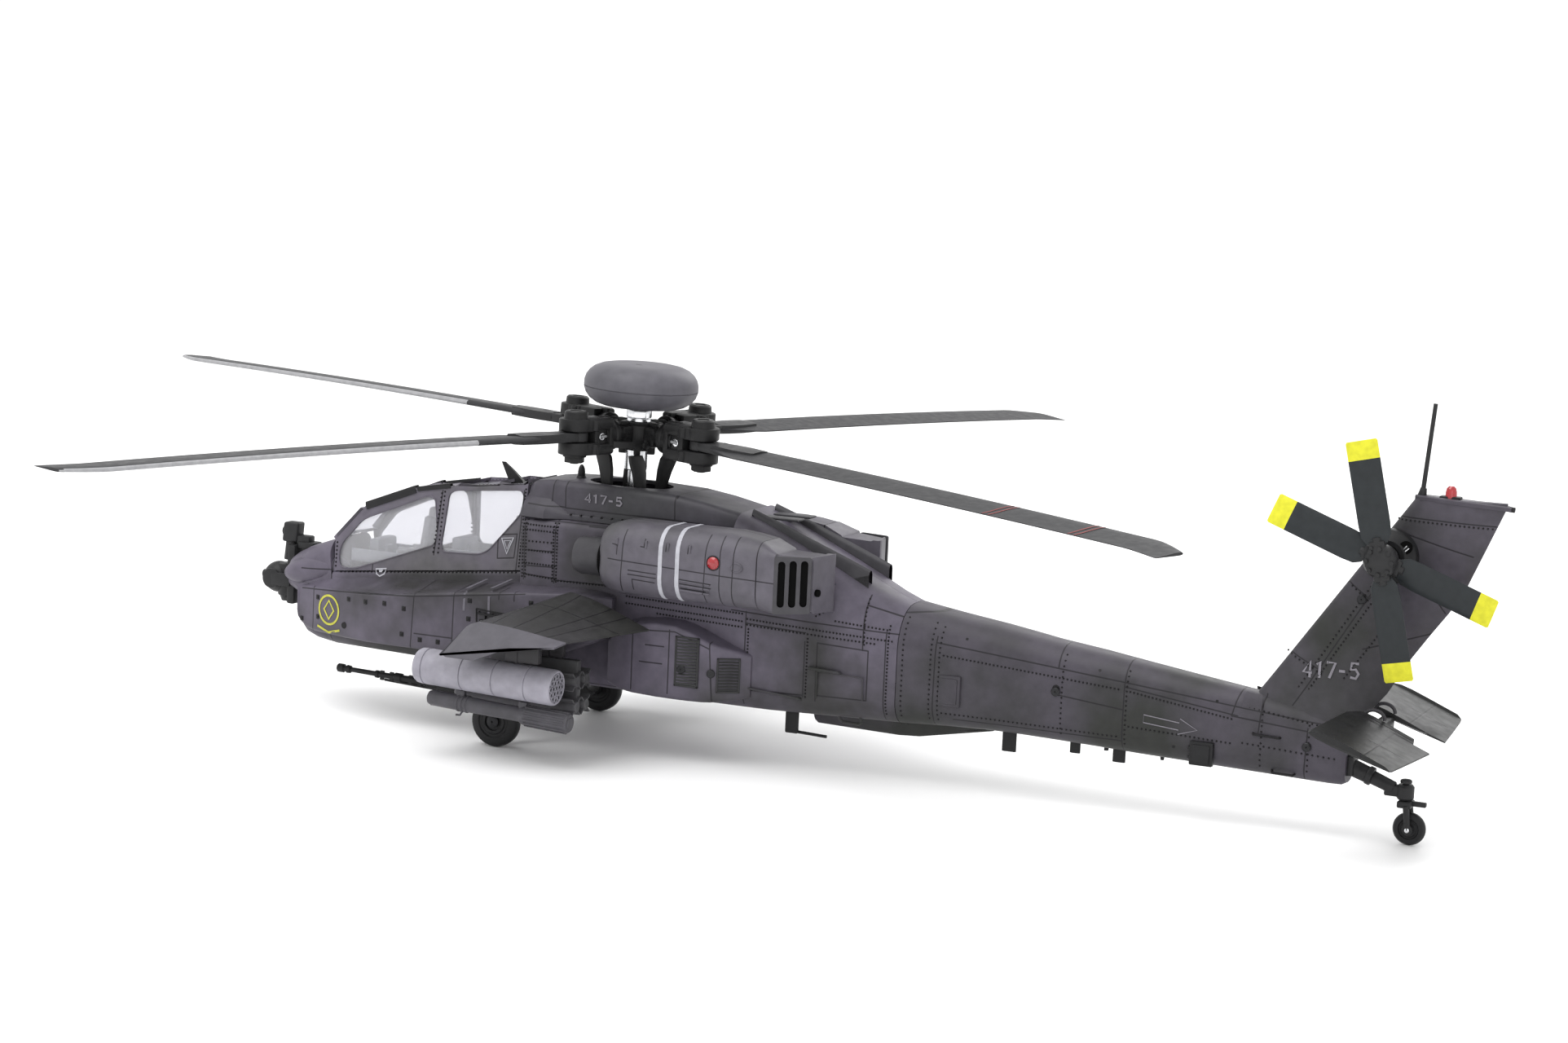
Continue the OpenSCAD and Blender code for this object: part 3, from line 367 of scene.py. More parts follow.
def joined(bm, part, place=None):
    """Adds one mesh to another."""
    if place is not None:
        part.transform(place)
    held = bpy.data.meshes.new("held")
    part.to_mesh(held)
    part.free()
    bm.from_mesh(held)
    bpy.data.meshes.remove(held)


def plate(bm, outline, holes=()):
    """A flat face in a plane, from its outline and the outlines of its holes."""
    edges = []
    for loop in (outline, *holes):
        ring = [bm.verts.new(Vector(point)) for point in loop]
        edges += [bm.edges.new((ring[i - 1], ring[i])) for i in range(len(ring))]
    return bmesh.ops.triangle_fill(bm, use_beauty=True, use_dissolve=False, edges=edges)


def rounded(points, radius, steps=4):
    """A closed flat outline with every corner cut to a curve of about the radius."""
    made = []
    for i, point in enumerate(points):
        here = Vector(point)
        before = Vector(points[i - 1]) - here
        after = Vector(points[(i + 1) % len(points)]) - here
        cut = min(radius, before.length * 0.48, after.length * 0.48)
        first = here + before.normalized() * cut
        last = here + after.normalized() * cut
        for k in range(steps + 1):
            t = k / steps
            made.append(first * (1 - t) ** 2 + here * 2 * t * (1 - t) + last * t * t)
    return made


def canopy_side(x, z, out=0.0):
    """The point at x and z on the canopy's right side wall, moved outwards."""
    return Vector((x, 14.6 + out - 0.125 * (z - sill(x)), z))


def canopy_skin(bm, outline, holes, out):
    """Lays a flat outline on the leaning side wall."""
    plate(bm, [(x, z, 0) for x, z in outline], [[(x, z, 0) for x, z in hole] for hole in holes])
    for vertex in bm.verts:
        vertex.co = canopy_side(vertex.co.x, vertex.co.y, out)


def roof_point(u, y, lift=0.0):
    """A point u mm along the roof line from the nose end, y across, lifted off the strip."""
    for (x0, z0), (x1, z1) in zip(roof_line[1:], roof_line[2:]):
        run = math.hypot(x1 - x0, z1 - z0)
        if u <= run or (x1, z1) == roof_line[-1]:
            share = u / run
            lean = Vector((-(z1 - z0), 0, x1 - x0)) / run
            return Vector((x0 + share * (x1 - x0), y, z0 + share * (z1 - z0))) + lean * lift
        u -= run


def edge_y(u):
    """Half width of the roof strip u mm along it."""
    spot = roof_point(u, 0)
    return 14.6 - 0.125 * (spot.z - sill(spot.x))


roof_stops = [0, 16.65, 39.73, 54.95, 84.37]
roof_panes = [[(2, 15.4), (17.9, 38.2)], [(57.5, 71.5), (73.5, 81.5)]]
bm = bmesh.new()
for side in sides.values():
    part = bmesh.new()
    side_line = roof_line + [(-36.8, 58.2)]
    canopy_skin(part, side_line, [rounded(front_window, 2.2), rounded(rear_window, 2.6)], 0)
    mirrored(part, side)
    bmesh.ops.recalc_face_normals(part, faces=part.faces)
    bmesh.ops.solidify(part, geom=part.faces, thickness=1.1)
    joined(bm, part)
strip = bmesh.new()
for start, end in zip(roof_stops, roof_stops[1:]):
    panes = [pane for group in roof_panes for pane in group if start <= pane[0] < end]
    cuts = [start]
    for first, last in panes:
        cuts += [first, last]
    cuts.append(end)
    for i, (first, last) in enumerate(zip(cuts, cuts[1:])):
        lanes = [-1, 1] if i % 2 == 0 else [-1, -0.86, 0.86, 1]
        for left_lane, right_lane in zip(lanes, lanes[1:]):
            if i % 2 and right_lane == 0.86:
                continue
            lay(strip, [[roof_point(u, lane * (edge_y(u) + 0.05)) for lane in (left_lane, right_lane)]
                        for u in (first, last)])
bmesh.ops.remove_doubles(strip, verts=strip.verts, dist=0.01)
bmesh.ops.recalc_face_normals(strip, faces=strip.faces)
bmesh.ops.translate(strip, verts=strip.verts, vec=(0, 0, 0.04))
bmesh.ops.solidify(strip, geom=strip.faces, thickness=1.1)
joined(bm, strip)
plate(bm, [(-37.2, -13, 58.4), (-37.2, 13, 58.4), (-37.2, 10.6, 88), (-37.2, -10.6, 88)])
piece("canopy_moulding", bm, canopy_paint, nodes=["canopy_frame"], sharp=40)

# ---------------------------------------------------------------- canopy panes
# Clear pressed panes glued in from behind: two on each side, a windscreen and the roof panes.
pane_plastic, tree, shader = finish_of("pane_plastic", {
    "Metallic": 0.0, "Transmission Weight": 0.82, "IOR": 1.1, "Alpha": 1.0, "Specular IOR Level": 0.6})
spot = wire(tree, "ShaderNodeTexCoord").outputs["Object"]
haze = wire(tree, "ShaderNodeTexNoise", {"Vector": spot, "Scale": 60.0, "Detail": 3.0})
misted = wire(tree, "ShaderNodeMapRange", {"Value": haze.outputs["Fac"], "From Min": 0.35, "From Max": 0.7,
              "To Min": 0.02, "To Max": 0.1})
tint = wire(tree, "ShaderNodeMix", {"Factor": haze.outputs["Fac"], "A": (0.8, 0.8, 0.84, 1),
            "B": (0.92, 0.92, 0.94, 1)}, data_type="RGBA")
tree.links.new(misted.outputs["Result"], shader.inputs["Roughness"])
tree.links.new(tint.outputs["Result"], shader.inputs["Base Color"])
bm = bmesh.new()
for side in sides.values():
    for hole in (front_window, rear_window):
        part = bmesh.new()
        middle = sum((Vector(point) for point in hole), Vector((0, 0))) / len(hole)
        grown = [middle + (Vector(point) - middle) * 1.03 for point in hole]
        canopy_skin(part, rounded(grown, 2.4), [], -0.75)
        bmesh.ops.solidify(part, geom=part.faces, thickness=0.25)
        mirrored(part, side)
        bmesh.ops.recalc_face_normals(part, faces=part.faces)
        joined(bm, part)
for group in roof_panes:
    for first, last in group:
        rows = [[roof_point(u, share * 0.88 * edge_y(u), -0.75) for share in (-1, 1)]
                for u in (first - 0.4, last + 0.4)]
        sheet = lay(bm, rows)
        bmesh.ops.solidify(bm, geom=list({face for vertex in sheet for face in vertex.link_faces}),
                           thickness=0.25)
piece("canopy_panes", bm, pane_plastic, nodes=["canopy_glass"])

# ---------------------------------------------------------------- canopy trim
# Raised gutters on the roof edge over the front seat, window gaskets, lines of rivets along the
# frame, and the blade aerial over the rear seat: small mouldings glued to the canopy.
black_plastic, given, out = group_of(
    "black_plastic", {"Place": "NodeSocketVector", "Tone": "NodeSocketColor"},
    finish_outputs)
flecks = wire(black_plastic, "ShaderNodeTexNoise", {"Vector": given["Place"], "Scale": 340.0, "Detail": 4.0})
lighter = wire(black_plastic, "ShaderNodeMapRange", {"Value": flecks.outputs["Fac"], "From Min": 0.3,
               "From Max": 0.72, "To Min": 0.88, "To Max": 1.14})
tinted = wire(black_plastic, "ShaderNodeMix", {"Factor": 1.0, "A": given["Tone"],
                                               "B": lighter.outputs["Result"]}, data_type="RGBA",
              blend_type="MULTIPLY")
satin = wire(black_plastic, "ShaderNodeMapRange", {"Value": flecks.outputs["Fac"], "From Min": 0.3,
             "From Max": 0.72, "To Min": 0.36, "To Max": 0.54})
fine = wire(black_plastic, "ShaderNodeTexNoise", {"Vector": given["Place"], "Scale": 3000.0, "Detail": 2.0})
black_plastic.links.new(tinted.outputs["Result"], out["Color"])
black_plastic.links.new(satin.outputs["Result"], out["Roughness"])
black_plastic.links.new(fine.outputs["Fac"], out["Height"])


def grained(name, tone, group=black_plastic, strength=0.25, distance=0.00004, **plain):
    """Plastic or metal whose colour, gloss and grain come from a shared node group."""
    made, tree, shader = finish_of(name, {"Specular IOR Level": 0.22, **plain})
    spot = wire(tree, "ShaderNodeTexCoord").outputs["Object"]
    effect = wire(tree, "ShaderNodeGroup", {}, node_tree=group)
    tree.links.new(spot, effect.inputs["Place"])
    effect.inputs["Tone"].default_value = tone
    relief = wire(tree, "ShaderNodeBump", {"Height": effect.outputs["Height"], "Strength": strength,
                  "Distance": distance})
    tree.links.new(effect.outputs["Color"], shader.inputs["Base Color"])
    tree.links.new(effect.outputs["Roughness"], shader.inputs["Roughness"])
    tree.links.new(relief.outputs["Normal"], shader.inputs["Normal"])
    return made


trim_black = grained("trim_black", (0.014, 0.014, 0.015, 1))
# Near-black ink for rivets, fasteners and small fittings; the same finish paints the shade in screw holes.
ink_and_hole_shade = grained("ink_and_hole_shade", (0.009, 0.0085, 0.0095, 1))


def block(bm, low, high, cut=0.0, steps=2):
    """A box between two corners with all its edges rounded."""
    low, high = Vector(low), Vector(high)
    place = Matrix.Translation((low + high) / 2) @ Matrix.Diagonal((*(high - low), 1))
    made = bmesh.ops.create_cube(bm, size=1, matrix=place)["verts"]
    if cut:
        edges = list({edge for vertex in made for edge in vertex.link_edges})
        ends = bmesh.ops.bevel(bm, geom=edges, offset=cut, affect="EDGES", segments=steps, profile=0.5,
                               material=-1)
        made = list({vertex for vertex in made if vertex.is_valid} | set(ends["verts"]))
    return made


def rod(bm, start, end, r0, r1=None, sides=12, cut=0.0):
    """A round bar from one point to another; r1 is the far radius."""
    start, end = Vector(start), Vector(end)
    run = end - start
    place = Matrix.Translation((start + end) / 2) @ run.to_track_quat("Z", "Y").to_matrix().to_4x4()
    made = bmesh.ops.create_cone(bm, cap_ends=True, segments=sides, radius1=r0, radius2=r0
                                 if r1 is None else r1, depth=run.length, matrix=place)["verts"]
    if cut:
        rims = [edge for edge in {edge for vertex in made for edge in vertex.link_edges}
                if edge.calc_face_angle(0) > 1]
        bmesh.ops.bevel(bm, geom=rims, offset=cut, affect="EDGES", segments=2, profile=0.5, material=-1)
    return made


def bent_rod(bm, points, radius, sides=8):
    """A round bar through several points, with a ball at each bend."""
    for a, b in zip(points, points[1:]):
        rod(bm, a, b, radius, sides=sides)
    for point in points[1:-1]:
        bmesh.ops.create_icosphere(bm, subdivisions=1, radius=radius, matrix=Matrix.Translation(point))


def beads(bm, start, end, count, place_on, size=0.4):
    """A row of small round rivet heads between two flat points, set on a surface."""
    for i in range(count):
        share = i / max(count - 1, 1)
        spot, lean = place_on(*[a + (b - a) * share for a, b in zip(start, end)])
        turn = lean.to_track_quat("Z", "Y").to_matrix().to_4x4()
        bmesh.ops.create_cone(bm, cap_ends=True, segments=6, radius1=size, radius2=size * 0.55,
                              depth=size * 0.9, matrix=Matrix.Translation(spot + lean * size * 0.4) @ turn)


canopy_lean = Vector((0, 1, 0.125)).normalized()


def on_canopy(x, z):
    """A point and its outward direction on the canopy's side."""
    return canopy_side(x, z), canopy_lean


for name, side in sides.items():
    bm = bmesh.new()
    for hole in (front_window, rear_window):
        ring = [canopy_side(point.x, point.y, 0.05) for point in rounded(hole, 2.4)]
        bent_rod(bm, ring + ring[:1], 0.26, 5)
    mirrored(bm, side)
    piece("canopy_gasket_" + name, bm, canopy_paint)
    bm = bmesh.new()
    lay(bm, [[roof_point(u, edge_y(u) + out, lift) for out, lift in ((-2.6, 0.1), (-2.4, 1.5), (-0.3, 1.5),
                (0.25, 0.5), (0.2, -1))] for u in (17.5, 28, 38.8)])
    lay(bm, [[roof_point(u, edge_y(u) + out, lift) for out, lift in
              ((-1.6, 0.1), (-1.4, 0.8), (0.1, 0.8), (0.15, -0.6))] for u in (39.5, 46, 53)])
    mirrored(bm, side)
    piece("canopy_gutter_" + name, bm, trim_black, wall=-0.3)
    bm = bmesh.new()
    for start, end, count in (((-110, 50.3), (-38.5, 57.2), 46), ((-72.6, 61), (-71.2, 82), 15),
                              ((-70.6, 61), (-70, 82.6), 15), ((-37.6, 59.5), (-37.5, 86.5), 24),
                              ((-112.4, 52), (-112.6, 60.5), 7)):
        beads(bm, start, end, count, on_canopy)
    for u in [42 + 1.5 * i for i in range(28)]:
        spot = roof_point(u, edge_y(u) - 0.6)
        bmesh.ops.create_cone(bm, cap_ends=True, segments=6, radius1=0.28, radius2=0.16, depth=0.3,
                              matrix=Matrix.Translation(spot + Vector((0, 0, 0.1))))
    mirrored(bm, side)
    piece("canopy_rivets_" + name, bm, ink_and_hole_shade)
bm = bmesh.new()
lay(bm, [[Vector((x0, -half, z)), Vector((x1, -half * 0.8, z)), Vector((x1, half * 0.8, z)),
          Vector((x0, half, z))] for x0, x1, half, z in ((-50, -43.6, 1.1, 86.4), (-50.2, -44.6, 1, 88),
                                                         (-52, -48.6, 0.7, 91.4), (-53.4, -52, 0.4, 94))],
    closed=True)
cap(bm)
piece("canopy_aerial", bm, trim_black)

# ---------------------------------------------------------------- canopy marks
# A white hollow triangle in a dark square frame and a small pale shield, both thin decals
# pressed on the canopy's side. Plain shapes with no writing.
worn_ink, given, out = group_of(
    "worn_ink", {"Place": "NodeSocketVector", "Tone": "NodeSocketColor"},
    finish_outputs)
wear = wire(worn_ink, "ShaderNodeTexNoise", {"Vector": given["Place"], "Scale": 480.0, "Detail": 5.0})
rubbed = wire(worn_ink, "ShaderNodeMapRange", {"Value": wear.outputs["Fac"], "From Min": 0.36,
                                               "From Max": 0.66, "To Min": 1.03, "To Max": 0.86})
faded = wire(worn_ink, "ShaderNodeMix", {"Factor": 1.0, "A": given["Tone"], "B": rubbed.outputs["Result"]},
             data_type="RGBA", blend_type="MULTIPLY")
worn_ink.links.new(faded.outputs["Result"], out["Color"])
worn_ink.links.new(wire(worn_ink, "ShaderNodeMapRange", {"Value": wear.outputs["Fac"], "To Min": 0.38,
                   "To Max": 0.62}).outputs["Result"], out["Roughness"])
worn_ink.links.new(wear.outputs["Fac"], out["Height"])
decal_white = grained("decal_white", (0.42, 0.42, 0.46, 1), worn_ink)
stripe_grey = grained("stripe_grey", (0.2, 0.19, 0.215, 1), worn_ink)


def on_right(flat, place_on, lift):
    """Thickens a flat drawing of x and z points and lays it on a surface."""
    raised = bmesh.ops.extrude_face_region(flat, geom=list(flat.faces))
    for item in raised["geom"]:
        if isinstance(item, bmesh.types.BMVert):
            item.co.z = 0.05
    for vertex in flat.verts:
        spot, lean = place_on(vertex.co.x, vertex.co.y)
        vertex.co = spot + lean * (lift + vertex.co.z)


def ribbon(bm, points, width, closed=False):
    """A flat strip of even width along points in the drawing plane."""
    path = [Vector((*point, 0)) for point in points]
    rows = []
    count = len(path)
    for i, here in enumerate(path):
        ahead = path[(i + 1) % count] if closed or i < count - 1 else here
        behind = path[i - 1] if closed or i else here
        run = (ahead - behind).normalized()
        across = Vector((-run.y, run.x, 0)) * width / 2
        rows.append([here - across, here + across])
    if closed:
        rows.append(rows[0])
    return lay(bm, rows)


bm = bmesh.new()
ribbon(bm, [(-45.3, 68.6), (-40.6, 69.2), (-42.8, 63.4)], 0.55, closed=True)
ribbon(bm, [(-44.2, 67.8), (-41.6, 68.1), (-42.8, 65)], 0.4, closed=True)
ribbon(bm, [(-95.4, 52.6), (-91, 53.2), (-91.8, 51.2), (-93.6, 50.2), (-95, 51)], 0.5, closed=True)
ribbon(bm, [(-94, 52), (-92.4, 52.2)], 0.9)
on_right(bm, on_canopy, 0.2)
mirrored(bm, -1)
piece("canopy_marks", bm, decal_white)

# ---------------------------------------------------------------- cockpit
# Grey floors, two seats with side bolsters, and instrument hoods, moulded as one tub and seen
# through the panes.
cockpit_grey = grained("cockpit_grey", (0.26, 0.27, 0.29, 1))
seat_cloth = grained("seat_cloth", (0.36, 0.36, 0.37, 1), strength=0.5, distance=0.0002)
bm = bmesh.new()
for x0, x1 in ((-108, -74), (-70, -38)):
    floor_z = sill(x1) + 0.1
    block(bm, (x0, -11, floor_z), (x1, 11, floor_z + 1.5), 0.3)
    block(bm, (x0, -11, floor_z + 1), (x1, -9.8, floor_z + 4.4), 0.3)
    block(bm, (x0, 9.8, floor_z + 1), (x1, 11, floor_z + 4.4), 0.3)
for x, z in ((-103.4, sill(-74)), (-69.4, sill(-38))):
    block(bm, (x, -6.6, z + 1.6), (x + 4, 6.6, z + 8), 0.8)
    block(bm, (x + 3.4, -2, z + 2), (x + 5, 2, z + 5.5), 0.3)
piece("cockpit_floor", bm, cockpit_grey, nodes=["cockpit_tub"])
for name, x, z in (("front", -92, sill(-74) + 1.6), ("rear", -55, sill(-38) + 1.6)):
    bm = bmesh.new()
    block(bm, (x - 1, -5.6, z), (x + 9, 5.6, z + 3.2), 0.9, 3)
    for y in (-5.8, 4.4):
        block(bm, (x, y, z + 2), (x + 8, y + 1.4, z + 4.4), 0.6)
    block(bm, (x + 8, -5.6, z + 1), (x + 10.8, 5.6, z + 17), 1.1, 3)
    block(bm, (x + 8, -3, z + 16.2), (x + 10.6, 3, z + 20), 1, 3)
    bmesh.ops.rotate(bm, cent=(x + 8, 0, z + 1), matrix=Matrix.Rotation(0.16, 3, "Y"),
                     verts=[v for v in bm.verts if v.co.x > x + 7.9 and v.co.z > z + 0.9])
    piece("cockpit_seat_" + name, bm, seat_cloth)

# ---------------------------------------------------------------- nose sensors
# A sensor ball in a yoke and a night sensor on a post above it, black mouldings screwed to the
# front of the nose.
sensor_black = grained("sensor_black", (0.02, 0.02, 0.021, 1))
bm = bmesh.new()
ball = bmesh.ops.create_uvsphere(bm, u_segments=40, v_segments=24, radius=5.8)["verts"]
for vertex in ball:
    vertex.co.y = max(-5.1, min(5.1, vertex.co.y))
bmesh.ops.translate(bm, vec=(-145.1, 0, 43), verts=ball)
for y in (-1, 1):
    rod(bm, (-145.1, y * 4.8, 43), (-145.1, y * 6.1, 43), 3.7, sides=28, cut=0.3)
    block(bm, (-145, y * 5.7 - 0.6, 40.6), (-137, y * 5.7 + 0.6, 45.4), 0.5)
    rod(bm, (-147.6, y * 1.9, 43.8), (-150.7, y * 1.9, 44), 1.5, sides=20, cut=0.2)
rod(bm, (-141, 0, 36.5), (-141, 0, 48.5), 4, sides=28, cut=0.6)
rod(bm, (-141, 0, 34.6), (-141, 0, 36.8), 2.6, 3.4, sides=20)
block(bm, (-139.4, -4.6, 34), (-136, 4.6, 56), 0.9)
for z in (36, 52.5):
    for y in (-3.4, 3.4):
        rod(bm, (-139.9, y, z), (-139.2, y, z), 0.6, sides=8)
rod(bm, (-140, 0, 50), (-140, 0, 57.6), 2.9, 2.2, sides=20, cut=0.3)
head = block(bm, (-143, -2.6, 56.6), (-136.6, 2.6, 64), 0.9, 3)
for vertex in head:
    if vertex.co.z > 60:
        vertex.co.x += 0.16 * (vertex.co.z - 60)
rod(bm, (-143.4, 0, 60.4), (-142.6, 0, 60.4), 1.7, sides=20)
block(bm, (-137, -2.2, 56), (-131.5, 2.2, 59.4), 0.7)
block(bm, (-135.8, -3.2, 54.6), (-129, 3.2, 57.2), 0.6)
piece("sensor_turret", bm, sensor_black, nodes=["nose_sensor_turret"])

# ---------------------------------------------------------------- side bays
# Long equipment bays on both sides: the forward one runs from the nose to the wing, the rear one
# stands behind the wing with two louvred faces. Each is a moulded shell glued to the fuselage.
bay_seams = [(-119.5, 44, -119.6, 28), (-70.2, 51, -71.5, 28), (-53.9, 52, -54.4, 28),
             (-70, 34.1, -54.4, 34.2), (-126, 42.6, -71, 47.2), (-71, 47.2, -26, 52.8), (-30, 53, -30, 50),
             (-36, 53, -36, 50), (15, 47, 15, 24), (15.5, 44.8, 31, 45.6), (31, 45.6, 44, 41),
             (29, 46, 29, 24), (44, 43, 45.4, 22), (20, 40, 27, 40), (18, 34, 26.5, 34)]
bay_paint = painted("bay_paint", purple_grey, green_grey, bay_seams, [(-124, 15.4, -37, 15.6)])
wing_root_x = 4
bay_front = [(-128.5, 13.2, 34, 42.4, 43.6), (-128, 13.8, 31.6, 43.2, 44.4),
             (-126.4, 14.4, 29.6, 43.8, 45.2), (-123.6, 15.4, 28.2, 44.1, 46),
             (-119.6, 17.2, 27.7, 44.3, 47.2), (-112, 20, 27.7, 44.6, 48.9), (-102, 23.7, 27.8, 45, 49.6),
             (-92, 27, 28, 45.4, 50.2), (-82, 28.8, 28.2, 46.4, 50.9), (-72, 30, 28.4, 48, 51.4),
             (-58, 30.8, 28.5, 50, 52.2), (-40, 31, 28.7, 52, 54), (-25, 31, 29.5, 53.4, 55.2),
             (-14, 30.2, 32.4, 54.2, 55.8), (-5, 28, 36, 54.6, 56), (wing_root_x, 23, 40, 53.6, 55.4)]
bay_rear = [(4.6, 26, 24.6, 40, 44), (10, 27.6, 23, 44.4, 47.6), (15, 28.4, 22.5, 46.6, 49),
            (24, 28.5, 22.1, 47.8, 49.8), (31, 28.5, 22, 47.6, 49.4), (36, 28.4, 22, 46.2, 48.2),
            (41, 28.2, 22.1, 44.2, 46.4), (44.6, 28, 22.4, 42.8, 44.8), (50.4, 24.2, 23, 41, 42.6),
            (56.4, 20.6, 24.2, 39.2, 40)]


def bay_ring(x, w, bottom, top, shoulder):
    """Closed outline of a side bay at x, its shoulder sloping up to the fuselage."""
    inner = 14 if x < 4.1 else 19
    flat = [(inner, bottom + 0.4)] + corner(w - 1.5, bottom + 1.5, 1.5, 270, 4)
    flat += corner(w - 1.3, top - 1.3, 1.3, 0, 4)
    lift = (shoulder - top) * (w - 1.3 - inner) / max(w - 15, 1)
    return [Vector((x, y, z)) for y, z in flat + [(inner, top + max(lift, 0.5))]]


def louvre(bm, place, width, height, slats):
    """A framed panel of sloping slats. Its own x runs across, z up and -y outwards."""
    part = bmesh.new()
    for low, high in (((0, -0.35, 0), (width, 0.4, 0.7)), ((0, -0.35, height - 0.7), (width, 0.4, height)),
                      ((0, -0.35, 0), (0.7, 0.4, height)), ((width - 0.7, -0.35, 0), (width, 0.4, height))):
        block(part, low, high, 0.14, 1)
    step = (height - 1.4) / slats
    for i in range(slats):
        slat = block(part, (0.7, -0.1, 0.7 + i * step), (width - 0.7, 0.12, 0.7 + (i + 0.78) * step))
        bmesh.ops.rotate(part, cent=(0, 0, 0.7 + (i + 0.4) * step), matrix=Matrix.Rotation(-0.6, 3, "X"),
                         verts=slat)
    joined(bm, part, place)


rear_slope = math.atan2(7.4, 11.8)
louvre_dark = grained("louvre_dark", (0.028, 0.028, 0.029, 1))
for name, side in sides.items():
    bm = bmesh.new()
    for stations in (bay_front, bay_rear):
        shape = bmesh.new()
        lay(shape, [bay_ring(*station) for station in stations], closed=True)
        cap(shape)
        joined(bm, shape)
    skins["bay_" + name] = skin_of(bm)
    mirrored(bm, side)
    piece("side_bays_" + name, bm, bay_paint, nodes=["avionics_bay_" + name], sharp=38)
    bm = bmesh.new()
    turn_out = Matrix.Rotation(math.pi, 4, "Z")
    louvre(bm, Matrix.Translation((40.4, 28.5, 27)) @ turn_out, 9, 17.4, 15)
    louvre(bm, Matrix.Translation((53.4, 22.5, 26)) @ Matrix.Rotation(-rear_slope, 4, "Z") @ turn_out, 8.2,
           12, 10)
    mirrored(bm, side)
    piece("bay_louvres_" + name, bm, louvre_dark)


def side_of(name):
    """A finder for the point and outward direction of a right-hand skin at x and z."""
    def found(x, z):
        spot, lean = skins[name].ray_cast(Vector((x, 70, z)), Vector((0, -1, 0)))[:2]
        if spot is None:
            return Vector((x, 0, z)), Vector((0, 1, 0))
        return spot, lean if lean.y > 0 else -lean
    return found


# ---------------------------------------------------------------- bay fasteners and step
# Square quarter-turn fasteners, the boarding step with its grab bars, a round filler cap, and a dark disc
# that paints the shade of the moulding screw's hole: small moulded details on each bay's outer face.


def circle(middle, wide, high, count, sweep=math.tau):
    """Points of an upright ring, or of a part of one, round a middle point."""
    angles = [sweep * i / count for i in range(count + 1)]
    return [Vector((middle[0] + wide * math.cos(a), middle[1], middle[2] + high * math.sin(a)))
            for a in angles]


on_bay = side_of("bay_right")
fasteners = [(-117.2, 40.5), (-100.7, 42.3), (-92.1, 42.6), (-83.3, 43.2), (-74.7, 42.4), (-126, 31.4),
             (-75.3, 33.2), (-67.5, 32.1), (-47.6, 48.3), (-47.9, 41.8), (-23.4, 50), (-60, 32.2),
             (-117, 33.4), (-19, 37)]
for name, side in sides.items():
    bm = bmesh.new()
    for x, z in fasteners:
        spot, lean = on_bay(x, z)
        turn = lean.to_track_quat("Y", "Z").to_matrix().to_4x4()
        for size, depth in ((0.85, 0.22), (0.42, 0.42)):
            made = block(bm, (-size, -0.3, -size), (size, depth, size), 0.12, 1)
            bmesh.ops.transform(bm, matrix=Matrix.Translation(spot) @ turn, verts=made)
    for x in (-41, -38, -35, -32):
        rod(bm, (x, 31.1, 42), (x, 31.6, 44.8), 0.35, sides=8)
    bent_rod(bm, [(-43.6, 31, 44.8), (-43.4, 32, 44.4), (-31, 32, 43.8), (-30.6, 31, 43.6)], 0.42)
    bent_rod(bm, [(-43.4, 31, 41.9), (-34, 31.5, 41.4)], 0.36)
    for radius, tube in ((1.9, 0.25), (1.2, 0.2)):
        bent_rod(bm, circle((-22.2, 31.05, 40.1), radius, radius, 20), tube, 5)
    block(bm, (-17, 30, 38.4), (-15.2, 31.2, 40.2), 0.2)
    for x0, z0, x1, z1 in ((-44.8, 45.8, -44.6, 41.1), (-44.6, 41.1, -30, 38.6), (-44.8, 45.8, -31.6, 44.9),
                           (-31.6, 44.9, -20.5, 42.6), (-30, 38.6, -20, 36.6)):
        rod(bm, (x0, 31, z0), (x1, 31, z1), 0.3, sides=6)
    # A near-black disc paints the shade of the moulding screw's hole.
    rod(bm, (-102.4, 22.2, 32.5), (-102.6, 23.8, 32.5), 1.15, sides=20)
    mirrored(bm, side)
    piece("bay_details_" + name, bm, ink_and_hole_shade)

# ---------------------------------------------------------------- nose mark
# A plain ring with a diamond in it on each forward bay, a thin yellow decal.
mark_yellow = grained("mark_yellow", (0.46, 0.45, 0.06, 1), worn_ink)
stripe_faint = grained("stripe_faint", (0.13, 0.123, 0.145, 1), worn_ink)
for name, side in sides.items():
    bm = bmesh.new()
    ring = [(-111 + 5.2 * math.cos(math.tau * i / 28), 36.8 + 5.2 * math.sin(math.tau * i / 28))
            for i in range(28)]
    ribbon(bm, ring, 0.8, closed=True)
    ribbon(bm, [(-111, 40.2), (-108.4, 36.8), (-111, 33.4), (-113.6, 36.8)], 0.8, closed=True)
    ribbon(bm, [(-117, 30.2), (-111, 28.6), (-105, 30.2)], 0.8)
    on_right(bm, on_bay, 0.12)
    mirrored(bm, side)
    piece("nose_mark_" + name, bm, mark_yellow)
    bm = bmesh.new()
    for x in (-49.8, -39.9):
        top = 50 + (x + 58) * 0.111
        for z0, z1 in ((44.4, 47.4), (47.4, 50.4), (50.4, top + 0.1)):
            lay(bm, [[on_bay(x + dx, z)[0] + Vector((0, 0.12, 0)) for dx in (-0.45, 0.45)]
                     for z in (z0, z1)])
        inner_z = 52.2 + (x + 58) * 0.1
        lay(bm, [[Vector((x + dx, 29.4, top + 1.25 + dx * 0.1)) for dx in (-0.55, 0.55)],
                 [Vector((x + dx + 1.2, 17, inner_z + 1 + dx * 0.1)) for dx in (-0.55, 0.55)]])
    bmesh.ops.translate(bm, verts=bm.verts, vec=(0, 0, 0.12))
    mirrored(bm, side)
    piece("bay_stripes_" + name, bm, stripe_faint)

